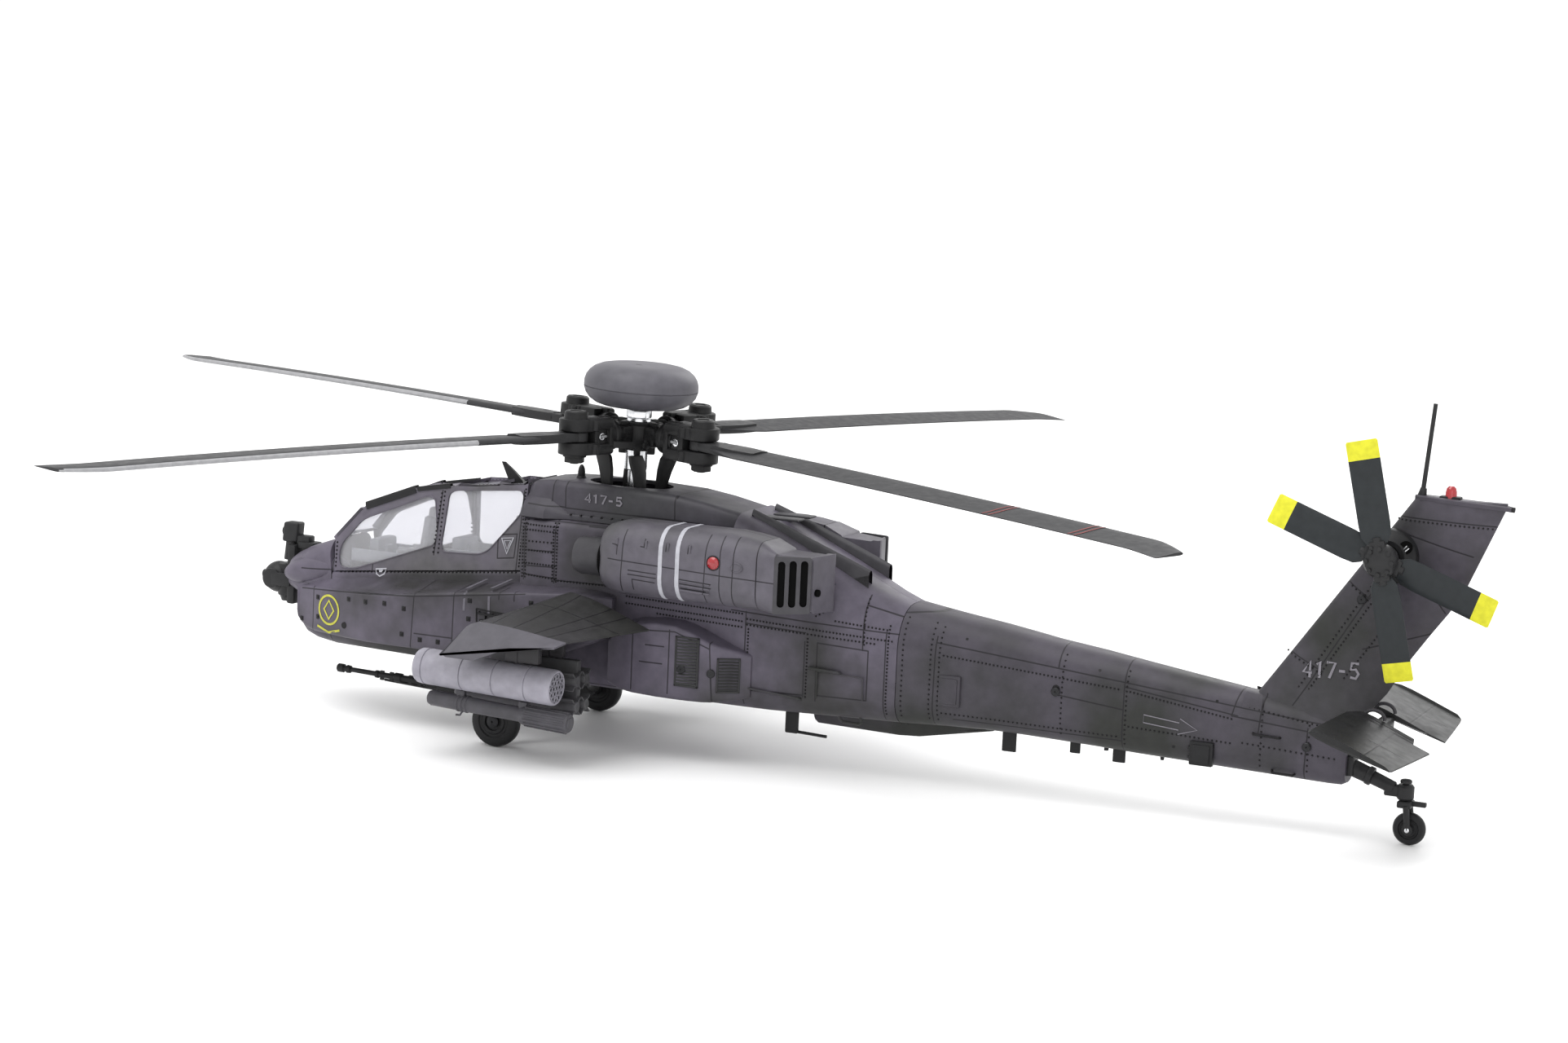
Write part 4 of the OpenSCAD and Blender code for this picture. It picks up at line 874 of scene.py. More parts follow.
# ---------------------------------------------------------------- rotor pylon cover
# The cover over the gearbox, a thin moulding with an oval opening for the shaft. Its lower flange
# clips over the deck and its front slopes down to the canopy.
cover_paint = painted("cover_paint", (0.058, 0.053, 0.066, 1), (0.04, 0.04, 0.043, 1), [
    (-19.8, 92, -19.6, 82), (22.4, 92, 22.8, 81), (-19.6, 82, 22.8, 81.6), (-34, 82.4, -19.6, 82.2),
    (22.8, 81.6, 46, 80.6), (-25, 91, -25, 84)], [(23, -14, 23, 14), (-19.6, -14, -19.6, 14)])
cover_stations = [(-36.9, 9.4, 84), (-36.6, 10.4, 87), (-35.6, 11.4, 89), (-33, 12.6, 90.3),
                  (-26, 13.9, 91.1), (-19, 14.9, 91.2), (4, 15.3, 91), (22, 15, 90.2), (33, 14.6, 88.7),
                  (41, 14, 87.2), (46.4, 13.6, 86.2)]


def cover_top(x):
    """Height of the cover's top and its half width at x."""
    for (x0, w0, z0), (x1, w1, z1) in zip(cover_stations, cover_stations[1:]):
        if x <= x1:
            share = max(0, (x - x0) / (x1 - x0))
            return z0 + share * (z1 - z0), w0 + share * (w1 - w0)
    return z1, w1


bm = bmesh.new()
bend = 3
for side in sides.values():
    rows = []
    for x, w, top in cover_stations:
        flat = [(w + 0.9, 78.15), (w + 0.9, 79.6), (w + 0.05, 80), (w, 80.6)]
        if x < -20:
            flat = [(min(w + 6.2, 19.6), 78.2), (w + 5, 80.4), (w + 3, 82.8), (w + 0.6, 84.6)]
        flat += corner(w - bend, top - bend, bend, 0, 4)
        rows.append([Vector((x, side * y, max(z, 78.2))) for y, z in flat])
    lay(bm, rows)
outline = [(x, w - bend) for x, w, top in cover_stations]
outline += [(x, bend - w) for x, w, top in reversed(cover_stations)]
oval = [(-1.5 + 15.5 * math.cos(a), 10.6 * math.sin(a)) for a in [math.tau * i / 40 for i in range(40)]]
top_mesh = bmesh.new()
plate(top_mesh, [(x, y, 0) for x, y in outline], [[(x, y, 0) for x, y in oval]])
for vertex in top_mesh.verts:
    vertex.co.z = cover_top(vertex.co.x)[0]
joined(bm, top_mesh)
bmesh.ops.remove_doubles(bm, verts=bm.verts, dist=0.01)
piece("pylon_cover", bm, cover_paint, nodes=["rotor_pylon_cover"], wall=1.2)

# ---------------------------------------------------------------- numerals
# Plain pale numerals on the cover's sides, printed by pad.
strokes = {"4": [[(0.78, 0), (0.78, 1), (0.05, 0.3), (1, 0.3)]], "1": [[(0.2, 0.78), (0.55, 1), (0.55, 0)]],
           "7": [[(0, 0.94), (0.95, 0.94), (0.35, 0)]], "-": [[(0.1, 0.45), (0.75, 0.45)]],
           "5": [[(0.92, 0.95), (0.15, 0.95), (0.1, 0.55), (0.6, 0.6), (0.92, 0.34), (0.65, 0.04),
                  (0.05, 0.1)]]}


def numerals(bm, text, x, z, high, wide, thick, rise=0.0):
    """Draws figures as flat strips in the drawing plane, starting at x and z."""
    for i, figure in enumerate(text):
        for stroke in strokes[figure]:
            left = x + i * wide * 1.28
            ribbon(bm, [(left + px * wide, z + i * rise + pz * high) for px, pz in stroke], thick)


def on_cover(x, z):
    """A point and outward direction on the cover's right side."""
    return Vector((x, cover_top(x)[1] + 0.02, z)), Vector((0, 1, 0))


for name, side in sides.items():
    bm = bmesh.new()
    numerals(bm, "417-5", -12, 84.8, 3.1, 2.4, 0.66, rise=-0.04)
    if side > 0:
        bmesh.ops.scale(bm, vec=(-1, 1, 1), verts=bm.verts)
        bmesh.ops.translate(bm, vec=(-9.4, 0, 0), verts=bm.verts)
    on_right(bm, on_cover, 0.28)
    mirrored(bm, side)
    piece("cover_numerals_" + name, bm, stripe_grey)

# ---------------------------------------------------------------- engine cowls
# Round-cornered nacelles on both sides, each with a foam plug in its intake. White bands go round
# them and panel joints run along them.
cowl_paint = painted("cowl_paint", (0.1, 0.093, 0.112, 1), (0.066, 0.066, 0.067, 1),
                     [(9, 69.8, 70.7, 67.3), (15, 80, 14, 59), (45.9, 81, 45.2, 58), (51.1, 81, 51.1, 57),
                      (56.1, 81, 55.5, 57), (17, 66.6, 27.4, 66.2), (17, 65.2, 27.4, 64.8),
                      (18.6, 63.6, 18.6, 60), (18.6, 63.6, 27, 63.2), (64.1, 81, 64.1, 57),
                      (36.4, 65.4, 48, 64.8), (36.4, 64, 48, 63.4), (36.8, 62.4, 46, 62),
                      (10.6, 75, 12.6, 74.8), (12.6, 74.8, 12.4, 71.6), (22.8, 77.6, 22.7, 75),
                      (22.8, 75, 21.4, 75.1), (31, 77, 30.9, 74.4), (39.2, 77, 39.1, 74.4)],
                     [(6, -23, 64, -23), (6, 23, 64, 23)], width=0.36)
exhaust_paint = painted("exhaust_paint", (0.055, 0.053, 0.059, 1), (0.042, 0.042, 0.044, 1))
# Near-black, barely reflective finish that paints the shade inside holes and recesses.
painted_recess_shade = grained("painted_recess_shade", (0.004, 0.004, 0.004, 1), **{"Specular IOR Level": 0.02})
cowl_stations = [(4.2, 33.8, 60, 78.6, 6.6), (4.6, 35, 59, 79.6, 7.2), (6, 36.2, 58.2, 80.6, 7.6),
                 (9, 37.4, 57.4, 81.6, 8), (13, 38, 57, 82, 8), (34, 38, 57, 82, 8), (52, 38, 57, 82, 8),
                 (58, 37.6, 57, 81.4, 7.4), (64.1, 37, 57, 80.4, 6.6)]


def cowl_ring(x, w, bottom, top, r, out=0.0):
    """Outline of a nacelle at x, open towards the fuselage."""
    flat = [(19.5, bottom - out)] + corner(w - r, bottom + r, r + out, 270)
    flat += corner(w - r, top - r, r + out, 0) + [(19.5, top + out)]
    return [Vector((x, y, z)) for y, z in flat]


for name, side in sides.items():
    bm = bmesh.new()
    lay(bm, [cowl_ring(*station) for station in cowl_stations], closed=True)
    cap(bm)
    skins["cowl_" + name] = skin_of(bm)
    bent_rod(bm, circle((57, 37.75, 71.4), 2.2, 1.5, 24), 0.22, 5)
    for z0 in (65, 63.4, 61.8):
        rod(bm, (36.5, 37.9 - (z0 < 65) * 0.05, z0), (47.6, 37.9 - (z0 < 65) * 0.05, z0 - 0.5), 0.36,
            sides=8)
    for x in (12, 23, 31.2, 39.4):
        block(bm, (x, 37.4, 74.6), (x + 0.8, 38.1, 77.2), 0.1, 1)
    mirrored(bm, side)
    piece("cowl_" + name, bm, cowl_paint, nodes=["engine_cowl_" + name], sharp=42)
    bm = bmesh.new()
    for x in (28.2, 34.6):
        band = cowl_ring(x, 38, 57, 82, 8, 0.1)[1:]
        lay(bm, [[point + Vector((dx, 0, 0)) for point in band] for dx in (0, 1.5)])
    mirrored(bm, side)
    piece("cowl_bands_" + name, bm, decal_white)
    # A near-black disc and lip ring behind the plug paint the shade in the intake's recess.
    bm = bmesh.new()
    lip = [Vector((4.3, 28 + 7.2 * math.cos(a), 68.5 + 7.2 * math.sin(a))) for a in
           [math.tau * i / 32 for i in range(33)]]
    bent_rod(bm, lip, 0.6, 6)
    rod(bm, (4, 28, 68.5), (7, 28, 68.5), 7.1, sides=32)
    mirrored(bm, side)
    piece("intake_recess_" + name, bm, painted_recess_shade)
    bm = bmesh.new()
    rod(bm, (6.5, 28, 68.5), (-7.2, 28, 68.5), 6.7, 6.5, sides=40, cut=1.9)
    rod(bm, (5.4, 28, 68.5), (4, 28, 68.5), 6.95, sides=40, cut=0.3)
    mirrored(bm, side)
    piece("intake_plug_" + name, bm, exhaust_paint)

# ---------------------------------------------------------------- exhausts
# Boxes behind the cowls with a slotted outer panel over a near-black sheet, painted shade of the
# hollow inside, and a near-black disc, painted shade of a hole in the sloping rear face.
grille_front = 70.6
grille_slope = 0.345


def slot_outline(x, low, high, half):
    """Round-ended upright slot in the drawing plane."""
    ends = [(x + half * math.cos(math.radians(a)), high - half + half * math.sin(math.radians(a)))
            for a in range(0, 181, 30)]
    return ends + [(x + half * math.cos(math.radians(a)), low + half + half * math.sin(math.radians(a)))
                   for a in range(180, 361, 30)]


for name, side in sides.items():
    bm = bmesh.new()
    rows = []
    for x, w, bottom, top, r in ((64.3, 37, 57, 80.4, 6), (70.6, 36.8, 57, 77.4, 2),
                                 (71, 35.2, 57.6, 76.8, 1.4), (81.8, 31.6, 58.2, 76.4, 1.4),
                                 (82.6, 31.4, 57.6, 76.8, 1.4), (84.4, 24, 57.4, 76.8, 1.4),
                                 (85.4, 19.5, 57.4, 77, 1.4)):
        rows.append(cowl_ring(x, max(w, 21.2), bottom, top, min(r, 1.2) if w < 24.5 else r))
    lay(bm, rows, closed=True)
    cap(bm)
    mirrored(bm, side)
    piece("exhaust_box_" + name, bm, cowl_paint, nodes=["exhaust_" + name], sharp=36)
    bm = bmesh.new()
    slots = [slot_outline(73, 59.4, 75, 1.15), slot_outline(76.6, 59.6, 75.4, 1.15),
             slot_outline(80.2, 60, 75.6, 1.15)]
    plate(bm, [(x, z, 0) for x, z in rounded([(70.6, 57), (82.4, 57.8), (82.4, 76.8), (70.6, 76.6)], 0.8)],
          [[(x, z, 0) for x, z in slot] for slot in slots])
    for vertex in bm.verts:
        x, z = vertex.co.x, vertex.co.y
        vertex.co = Vector((x, 37 - (x - grille_front) * grille_slope, z))
    mirrored(bm, side)
    piece("exhaust_grille_" + name, bm, exhaust_paint, wall=0.9)
    # A near-black sheet behind the slots and a disc on the rear face paint the shade inside the box.
    bm = bmesh.new()
    lay(bm, [[Vector((x, 35.9 - (x - grille_front) * grille_slope, z)) for x in (71.6, 81.9)]
             for z in (58.4, 76)])
    rod(bm, (83, 29.4, 64.6), (84, 29.6, 64.6), 1.25, sides=20)
    mirrored(bm, side)
    piece("exhaust_core_" + name, bm, painted_recess_shade, wall=0.3)

# ---------------------------------------------------------------- hump fittings
# Strakes and a ribbed walkway on the hump behind the mast, the beacon on the cover, and dark
# rivets along the panel joints of both fuselage halves.
for name, side in sides.items():
    bm = bmesh.new()
    strake = [(50, 9.5, 86.2), (60, 9.6, 82.6), (72, 9.5, 78), (84, 9.2, 73.4), (94, 9, 69.4)]
    lay(bm, [[Vector((x, y + dy, z + dz)) for dy, dz in ((-1.5, -7), (-1.5, 0), (-1, 1), (0, 1.5), (1, 1),
                                                         (1.5, 0), (1.6, -7))] for x, y, z in strake])
    cap(bm)
    for offset in (0, 1.5, 3):
        bent_rod(bm, [(46.6, 15.2 + offset * 0.8, 84.6 - offset), (58, 15.4 + offset * 0.8, 80.2 - offset),
                      (69.5, 15.8 + offset * 0.7, 75.6 - offset)], 0.5)
    block(bm, (52, 2, 84.4), (66, 8, 85.2), 0.4)
    mirrored(bm, side)
    piece("hump_strake_" + name, bm, exhaust_paint, sharp=40)
    bm = bmesh.new()
    on_shell = side_of("fuselage_right")
    for start, end, count in (((-33.8, 86), (-33.8, 57), 26), ((-32.4, 77), (-32.4, 57), 18),
                              ((-19.8, 78), (-19.8, 56.6), 20), ((-21.2, 78), (-21.2, 56.6), 20),
                              ((-33, 75.6), (-20.4, 75.6), 12), ((-33, 73.8), (-20.4, 73.8), 12),
                              ((-31, 66.6), (-22, 66.6), 9), ((-31, 69.8), (-22, 70), 7),
                              ((-33, 62), (-20.4, 62), 12), ((-33, 58), (-20.4, 57.4), 12),
                              ((-19, 57), (2, 57.2), 18), ((8, 54.4), (52, 53), 40),
                              ((8, 52), (52, 50.4), 40), ((20, 49.6), (52, 48.4), 28),
                              ((54, 51.4), (106, 49), 44), ((54, 49.4), (100, 47.6), 36),
                              ((54.6, 48), (54.6, 24), 22), ((76.4, 47), (76.4, 27), 18),
                              ((104.8, 54), (104.8, 24), 26), ((79, 55), (84, 58), 5),
                              ((96, 62), (96.4, 47), 12), ((86, 54), (104, 52.6), 15)):
        beads(bm, start, end, count, on_shell, 0.4)
    for x in range(-17, 22, 4):
        rod(bm, (x, 15.4, 80), (x, 16.3, 80), 0.32, sides=6)
    mirrored(bm, side)
    piece("panel_rivets_" + name, bm, ink_and_hole_shade)
bm = bmesh.new()
dome = bmesh.ops.create_uvsphere(bm, u_segments=20, v_segments=12, radius=1.35)["verts"]
bmesh.ops.scale(bm, vec=(1, 1, 2.4), verts=dome)
bmesh.ops.translate(bm, vec=(-21.5, 0, 92.6), verts=dome)
rod(bm, (-21.5, 0, 90.6), (-21.5, 0, 91.8), 2, 1.5, sides=20)
piece("cover_beacon", bm, trim_black)

# ---------------------------------------------------------------- stub wings
# Short thick wings, glued to the bays. Each is a two-part moulding with a slanted tip cap, spanwise
# panel lines and two pylons for the stores.
wing_paint = painted("wing_paint", (0.032, 0.032, 0.031, 1), (0.046, 0.044, 0.048, 1),
                     roof_seams=[(-24, -31, -27.6, -66), (-14, -31, -19, -66), (-4, -31, -11, -66),
                                 (8, -31, -3, -66), (14, -31, 2, -66), (-16, -44, 18, -44),
                                 (-24, 31, -27.6, 66), (-14, 31, -19, 66), (-4, 31, -11, 66),
                                 (8, 31, -3, 66), (14, 31, 2, 66), (-16, 44, 18, 44)])
tip_paint = painted("tip_paint", (0.13, 0.122, 0.145, 1), (0.1, 0.096, 0.11, 1))
wing_ends = [(31, -20, 43, 50.6, -8, 55.2, 22.5, 45.8), (66, -29.5, 38.4, 47, -21, 48.2, 9, 44.7)]


def wing_ring(y, x0, low, high, crest_x, crest_z, x1, z1):
    """Closed wing section at y, from the trailing edge under the wing and back over the top."""
    run = x1 - crest_x
    drop = crest_z - z1
    flat = [(x1, z1 - 0.55), (crest_x + 0.5 * run, low + 1.6 * (z1 - 0.55 - low) / 2),
            (crest_x + 3, low - 0.2), (x0 + 2.4, low), (x0 + 0.7, low + 1), (x0, (low + high) / 2),
            (x0 + 0.5, high - 1), (x0 + 2.2, high + 0.1), ((x0 + crest_x) / 2 + 1,
                                                           (high + crest_z) / 2 + 0.6), (crest_x, crest_z),
            (crest_x + 0.25 * run, crest_z - 0.14 * drop), (crest_x + 0.5 * run, crest_z - 0.4 * drop),
            (crest_x + 0.78 * run, crest_z - 0.74 * drop), (x1, z1)]
    return [Vector((x, y, z)) for x, z in flat]


for name, side in sides.items():
    bm = bmesh.new()
    root, tip = wing_ends
    sections = []
    for share in (0, 0.03, 0.1, 0.25, 0.5, 0.75, 1):
        swell = 0.4 * max(0, 0.12 - share) / 0.12
        values = [a + (b - a) * share for a, b in zip(root, tip)]
        values[5] += swell
        sections.append(wing_ring(*values))
    lay(bm, sections, closed=True)
    cap(bm)
    block(bm, (-15.5, 60.5, 35.25), (-2.5, 63.5, 42), 0.7)
    block(bm, (-24, 44, 35.2), (-2, 47, 42.5), 0.8)
    block(bm, (-12, 61, 34.9), (-9, 63, 35.9), 0.3)
    mirrored(bm, side)
    piece("wing_" + name, bm, wing_paint, nodes=["stub_wing_" + name], sharp=40)
    bm = bmesh.new()
    inner = wing_ring(*tip)
    middle = wing_ring(67.2, -30.2, 38, 45.8, -21.6, 47.3, 9.4, 44.7)
    outer = wing_ring(76, -33.6, 36.8, 38, -24, 39.2, 9.8, 44.4)
    lay(bm, [inner, middle, outer], closed=True)
    cap(bm)
    mirrored(bm, side)
    piece("wing_tip_" + name, bm, tip_paint, sharp=28)

# ---------------------------------------------------------------- rocket pods
# Round pods with four joint grooves and nineteen launch tubes in the rear face, moulded in light
# grey plastic and hung on the outer pylons.
store_grey = painted("store_grey", (0.33, 0.318, 0.37, 1), (0.27, 0.262, 0.297, 1))
store_dark = painted("store_dark", (0.075, 0.072, 0.082, 1), (0.056, 0.056, 0.058, 1))


def turned(bm, profile, middle, axis, steps=36):
    """Spins a profile of distance and radius pairs about an axis through a point."""
    axis = Vector(axis).normalized()
    out = axis.orthogonal().normalized()
    chain = [bm.verts.new(Vector(middle) + axis * along + out * radius) for along, radius in profile]
    edges = [bm.edges.new(pair) for pair in zip(chain, chain[1:])]
    bmesh.ops.spin(bm, geom=chain + edges, cent=middle, axis=axis, angle=math.tau, steps=steps,
                   use_merge=True)
    bmesh.ops.remove_doubles(bm, verts=bm.verts, dist=0.001)


pod_at = (0, 62, 28.2)
pod_tilt = Matrix.Translation(pod_at) @ Matrix.Rotation(math.radians(2.2), 4, "Y")
pod_profile = [(-49.4, 0), (-49.4, 4.4), (-48.9, 5.4), (-47.9, 6), (-46.6, 6.15)]
for groove in (-45.3, -30.4, -18, -5.6):
    pod_profile += [(groove - 0.3, 6.15), (groove - 0.12, 5.8), (groove + 0.12, 5.8), (groove + 0.3, 6.15)]
pod_profile += [(3, 6.15), (3.7, 6), (4, 5.7), (4, 5.2), (3.5, 5.1), (3.5, 0)]
tube_spots = [(0, 0)]
for count, radius in ((6, 2.05), (12, 4.05)):
    tube_spots += [(radius * math.cos(math.tau * i / count), radius * math.sin(math.tau * i / count))
                   for i in range(count)]
for name, side in sides.items():
    bm = bmesh.new()
    turned(bm, pod_profile, (0, 0, 0), (1, 0, 0), 48)
    for y, z in tube_spots:
        turned(bm, [(3.4, 0.98), (4.15, 0.98), (4.15, 0.78), (3.4, 0.78)], (0, y, z), (1, 0, 0), 12)
    bm.transform(pod_tilt)
    mirrored(bm, side)
    piece("rocket_pod_body_" + name, bm, store_grey, nodes=["rocket_pod_" + name], sharp=36)
    # Near-black discs set in the tube mouths paint the shade inside the launch tubes.
    bm = bmesh.new()
    for y, z in tube_spots:
        rod(bm, (3.3, y, z), (3.75, y, z), 0.8, sides=12)
    bm.transform(pod_tilt)
    mirrored(bm, side)
    piece("rocket_tubes_" + name, bm, painted_recess_shade)

# ---------------------------------------------------------------- missiles and canister
# A canister with a ribbed rear end under each pod, and four finned missiles on an inner rail:
# plain plastic mouldings.
for name, side in sides.items():
    bm = bmesh.new()
    turned(bm, [(-45, 0), (-45, 1.5), (-44.5, 2.3), (-43.5, 2.7), (-33.4, 2.7), (-33.2, 3), (-32.6, 3),
                (-32.4, 2.7), (-31.8, 2.7), (-31.6, 3), (-31, 3), (-30.8, 2.7), (-30.2, 2.7), (-30, 3),
                (-29.4, 3), (-29.2, 2.7), (-10, 2.5), (-9.2, 2.6), (-8.4, 3.1), (-7.6, 3.3), (8.6, 3.4),
                (9.4, 3), (9.4, 2.2), (9.8, 2), (9.8, 0)], (0, 0, 0), (1, 0, 0), 28)
    for i in range(14):
        turn = Matrix.Rotation(math.tau * i / 14, 3, "X")
        rib = block(bm, (-7, -0.35, 3), (8.6, 0.35, 3.75), 0.2, 1)
        bmesh.ops.rotate(bm, cent=(0, 0, 0), matrix=turn, verts=rib)
    bent_rod(bm, [(-31.6, 0, -2.6), (-32.4, 0, -4.2), (-34, 0, -4.4)], 0.35)
    for x in (-34, -10):
        block(bm, (x, -1, 1.8), (x + 3, 1, 4.6), 0.3)
    bm.transform(Matrix.Translation((0, 62, 17)) @ Matrix.Rotation(math.radians(3), 4, "Y"))
    mirrored(bm, side)
    piece("canister_" + name, bm, store_dark, nodes=["missile_rack_" + name], sharp=36)
    bm = bmesh.new()
    block(bm, (-30, 44, 17.4), (4, 47, 35.2), 0.8)
    for y in (42, 49):
        for z in (19.6, 28.4):
            turned(bm, [(-42.2, 0), (-41.9, 0.9), (-41, 1.7), (-39.6, 2.2), (-12, 2.2), (-11.8, 2),
                        (-11.4, 2), (-11.2, 2.2), (4.6, 2.2), (5.2, 1.8), (5.2, 1.2), (4.8, 0)], (0, y, z),
                   (1, 0, 0), 20)
            for turn in range(4):
                vane = block(bm, (-4, -0.3, 1.6), (5, 0.3, 4.3), 0.15, 1)
                bmesh.ops.rotate(bm, cent=(0, 0, 0), matrix=Matrix.Rotation(math.radians(45 + 90 * turn), 3,
                            "X"), verts=vane)
                bmesh.ops.translate(bm, verts=vane, vec=(0, y, z))
            block(bm, (-26, min(y, 45.5), z - 0.7), (-2, max(y, 45.5), z + 0.7), 0.2, 1)
    mirrored(bm, side)
    piece("missiles_" + name, bm, store_dark, sharp=36)

# ---------------------------------------------------------------- chain gun
# A thin barrel with a muzzle brake and a boxy receiver on a two-legged cradle under the cockpit,
# all black plastic.
gun_black = grained("gun_black", (0.02, 0.02, 0.021, 1))
bm = bmesh.new()
turned(bm, [(-50, 0), (-50, 1.3), (-49.6, 1.6), (-47.4, 1.6), (-47, 1.1), (-46.4, 1.1), (-46, 1.5),
            (-44.6, 1.4), (-44.2, 0.9), (-34, 0.95), (-33.8, 1.4), (-32.6, 1.4), (-32.4, 1), (-26, 1.05),
            (-25.6, 1.7), (-23, 1.7), (-22.6, 1.2), (-12, 1.3), (-11.6, 2), (-2, 2.1), (-1.6, 0)],
       (0, 0, 0), (1, 0, 0), 20)
for x in (-32, -28, -24, -20, -16):
    block(bm, (x, -0.5, -1.9), (x + 1.6, 0.5, 1.6), 0.15, 1)
rod(bm, (-30, 0, -1.6), (-8, 0, -1.9), 0.5, sides=10)
bm.transform(Matrix.Translation((-69, 0, 10.1)) @ Matrix.Rotation(math.radians(2), 4, "Y"))
block(bm, (-76, -2.6, 7.4), (-57.6, 2.6, 13.2), 0.8)
block(bm, (-70, -3.4, 9), (-62, 3.4, 12), 0.6)
for x in (-72, -62.4):
    block(bm, (x, -4, 12.4), (x + 2.6, -2.6, 21.4), 0.4)
    block(bm, (x, 2.6, 12.4), (x + 2.6, 4, 21.4), 0.4)
rod(bm, (-67, 0, 13), (-67, 0, 21.6), 3.4, 4.4, sides=28, cut=0.4)
bent_rod(bm, [(-60, 2.4, 11), (-56, 3, 12.6), (-53, 2.4, 17), (-52.6, 1.8, 21.4)], 1.1, 10)
piece("gun", bm, gun_black, nodes=["chain_gun"], sharp=36)

# ---------------------------------------------------------------- landing gear
# Black legs with a sprung strut, fixed axles, and black wheels that turn on them, each held by a
# cross-head screw.
tyre_black = grained("tyre_black", (0.014, 0.014, 0.015, 1), strength=0.45, distance=0.0001)
screw_steel = grained("screw_steel", (0.03, 0.03, 0.032, 1), Metallic=0.6)
axle_x = -31
axle_z = 9
wheel_joints = {"left": joints["left_wheel_roll"], "right": joints["right_wheel_roll"]}


def cross_screw(bm, spot, lean, radius):
    """A screw head with a cross recess, standing on a point and facing a direction."""
    part = bmesh.new()
    turned(part, [(0, radius), (0.35, radius), (0.6, radius * 0.8), (0.6, 0)], (0, 0, 0), (0, 0, 1), 20)
    for turn in (0.5, 0.5 + math.pi / 2):
        bar = block(part, (-radius * 0.62, -radius * 0.13, 0.45), (radius * 0.62, radius * 0.13, 0.66))
        bmesh.ops.rotate(part, cent=(0, 0, 0), matrix=Matrix.Rotation(turn, 3, "Z"), verts=bar)
    joined(bm, part, Matrix.Translation(spot) @ Vector(lean).to_track_quat("Z", "Y").to_matrix().to_4x4())


for name, side in sides.items():
    bm = bmesh.new()
    rod(bm, (-20, 14, 18.5), (-30.4, 32.6, 10), 2, 2.4, sides=16, cut=0.4)
    rod(bm, (-23, 19, 16.2), (-25.6, 24, 13.8), 2.7, sides=16, cut=0.4)
    rod(bm, (-14, 15.5, 20.5), (-29, 31, 10.6), 0.9, sides=12)
    turned(bm, [(-2.6, 0), (-2.6, 2.6), (2.6, 2.6), (3, 2.2), (3, 1.5), (8, 1.5), (8, 0)],
           (axle_x, 33, axle_z), (0, 1, 0), 24)
    block(bm, (-24.5, 12, 17.8), (-14.5, 18, 20.7), 0.6)
    mirrored(bm, side)
    piece("gear_strut_" + name, bm, gun_black, nodes=["gear_leg_" + name], sharp=36)
    bm = bmesh.new()
    cross_screw(bm, Vector((axle_x, 41.6, axle_z)), (0, 1, 0), 2.2)
    mirrored(bm, side)
    piece("gear_screw_" + name, bm, screw_steel)
    bm = bmesh.new()
    tyre = [(-2.5, 1.6), (-2.5, 4.2), (-2.1, 4.6), (-2.1, 5.4), (-2.5, 5.8), (-2.45, 7.6), (-2, 8.5),
            (-1.2, 8.9), (0, 9), (1.2, 8.9), (2, 8.5), (2.45, 7.6), (2.5, 5.8), (2.1, 5.4), (2.1, 4.6),
            (2.5, 4.2), (2.5, 3.2), (1.9, 3), (1.9, 1.6)]
    turned(bm, tyre, (axle_x, 39, axle_z), (0, 1, 0), 48)
    for i in range(6):
        turn = math.tau * i / 6 + 0.3
        rod(bm, (axle_x + 3.7 * math.cos(turn), 41.3, axle_z + 3.7 * math.sin(turn)),
            (axle_x + 3.7 * math.cos(turn), 41.62, axle_z + 3.7 * math.sin(turn)), 0.42, sides=8)
    mirrored(bm, side)
    piece("wheel_" + name, bm, tyre_black, body=wheel_joints[name]["child"],
          nodes=["main_wheel_" + name], sharp=36)

# ---------------------------------------------------------------- tail boom and fin
# Two moulded halves screwed together. Each carries half of the fin, whose front edge leans back,
# and the left half has the round housing of the tail rotor.
boom_stations = [(108.2, 17, 20.3, 60.5, 9, 14), (116, 16, 20.5, 59.4, 9, 13.5),
                 (124, 15.2, 20.8, 58.3, 9, 13), (132, 14.4, 20.9, 57.3, 9, 12.4),
                 (140, 13.8, 21, 56.3, 9, 12), (150, 13, 20.8, 54.8, 8.7, 11.4),
                 (159, 12.4, 20.5, 53.4, 8.5, 11), (175, 11.4, 19.9, 51.5, 8, 10.2),
                 (190, 10.4, 19.2, 49.4, 7.5, 9.5), (208, 9.4, 18.6, 46.9, 7, 8.5),
                 (226, 8.4, 18, 44.5, 6.5, 7.5), (236, 7.8, 17.7, 43, 6, 7),
                 (245, 7.2, 17.4, 41.5, 5.5, 6.5), (254, 6.4, 17.1, 38.6, 5, 5.6),
                 (258, 6.1, 17.2, 37.2, 4.6, 5.2), (259.5, 5.2, 18, 36.2, 4, 4.6)]
boom_paint = painted("boom_paint", (0.062, 0.056, 0.07, 1), (0.027, 0.028, 0.026, 1),
                     [(108, 62, 108, 19), (121.2, 52, 120.9, 20), (121.2, 50, 258, 36),
                      (163.3, 53.5, 163.3, 46), (163.3, 37, 186, 34.4), (186, 50, 186, 19),
                      (186, 42, 224, 36.6), (224, 45, 222, 36.4), (222, 36.4, 258, 33), (232, 44, 231, 32),
                      (104, 58, 134, 60), (247, 35, 246.4, 18), (128, 24.6, 186, 24),
                      (266, 84.5, 240.8, 41.5), (235.5, 60, 249.5, 53.2), (255, 83.8, 263, 78.4),
                      (263, 78.4, 266.6, 83.4), (268, 105.7, 301, 105), (269, 101.3, 294.6, 94.8),
                      (262, 62, 283, 69), (275.6, 92, 287, 76)])


def between(points, z):
    """X on a chain of x and z points at the height z."""
    for (x0, z0), (x1, z1) in zip(points, points[1:]):
        if z <= z1:
            return x0 + (x1 - x0) * (z - z0) / (z1 - z0)
    return points[-1][0]


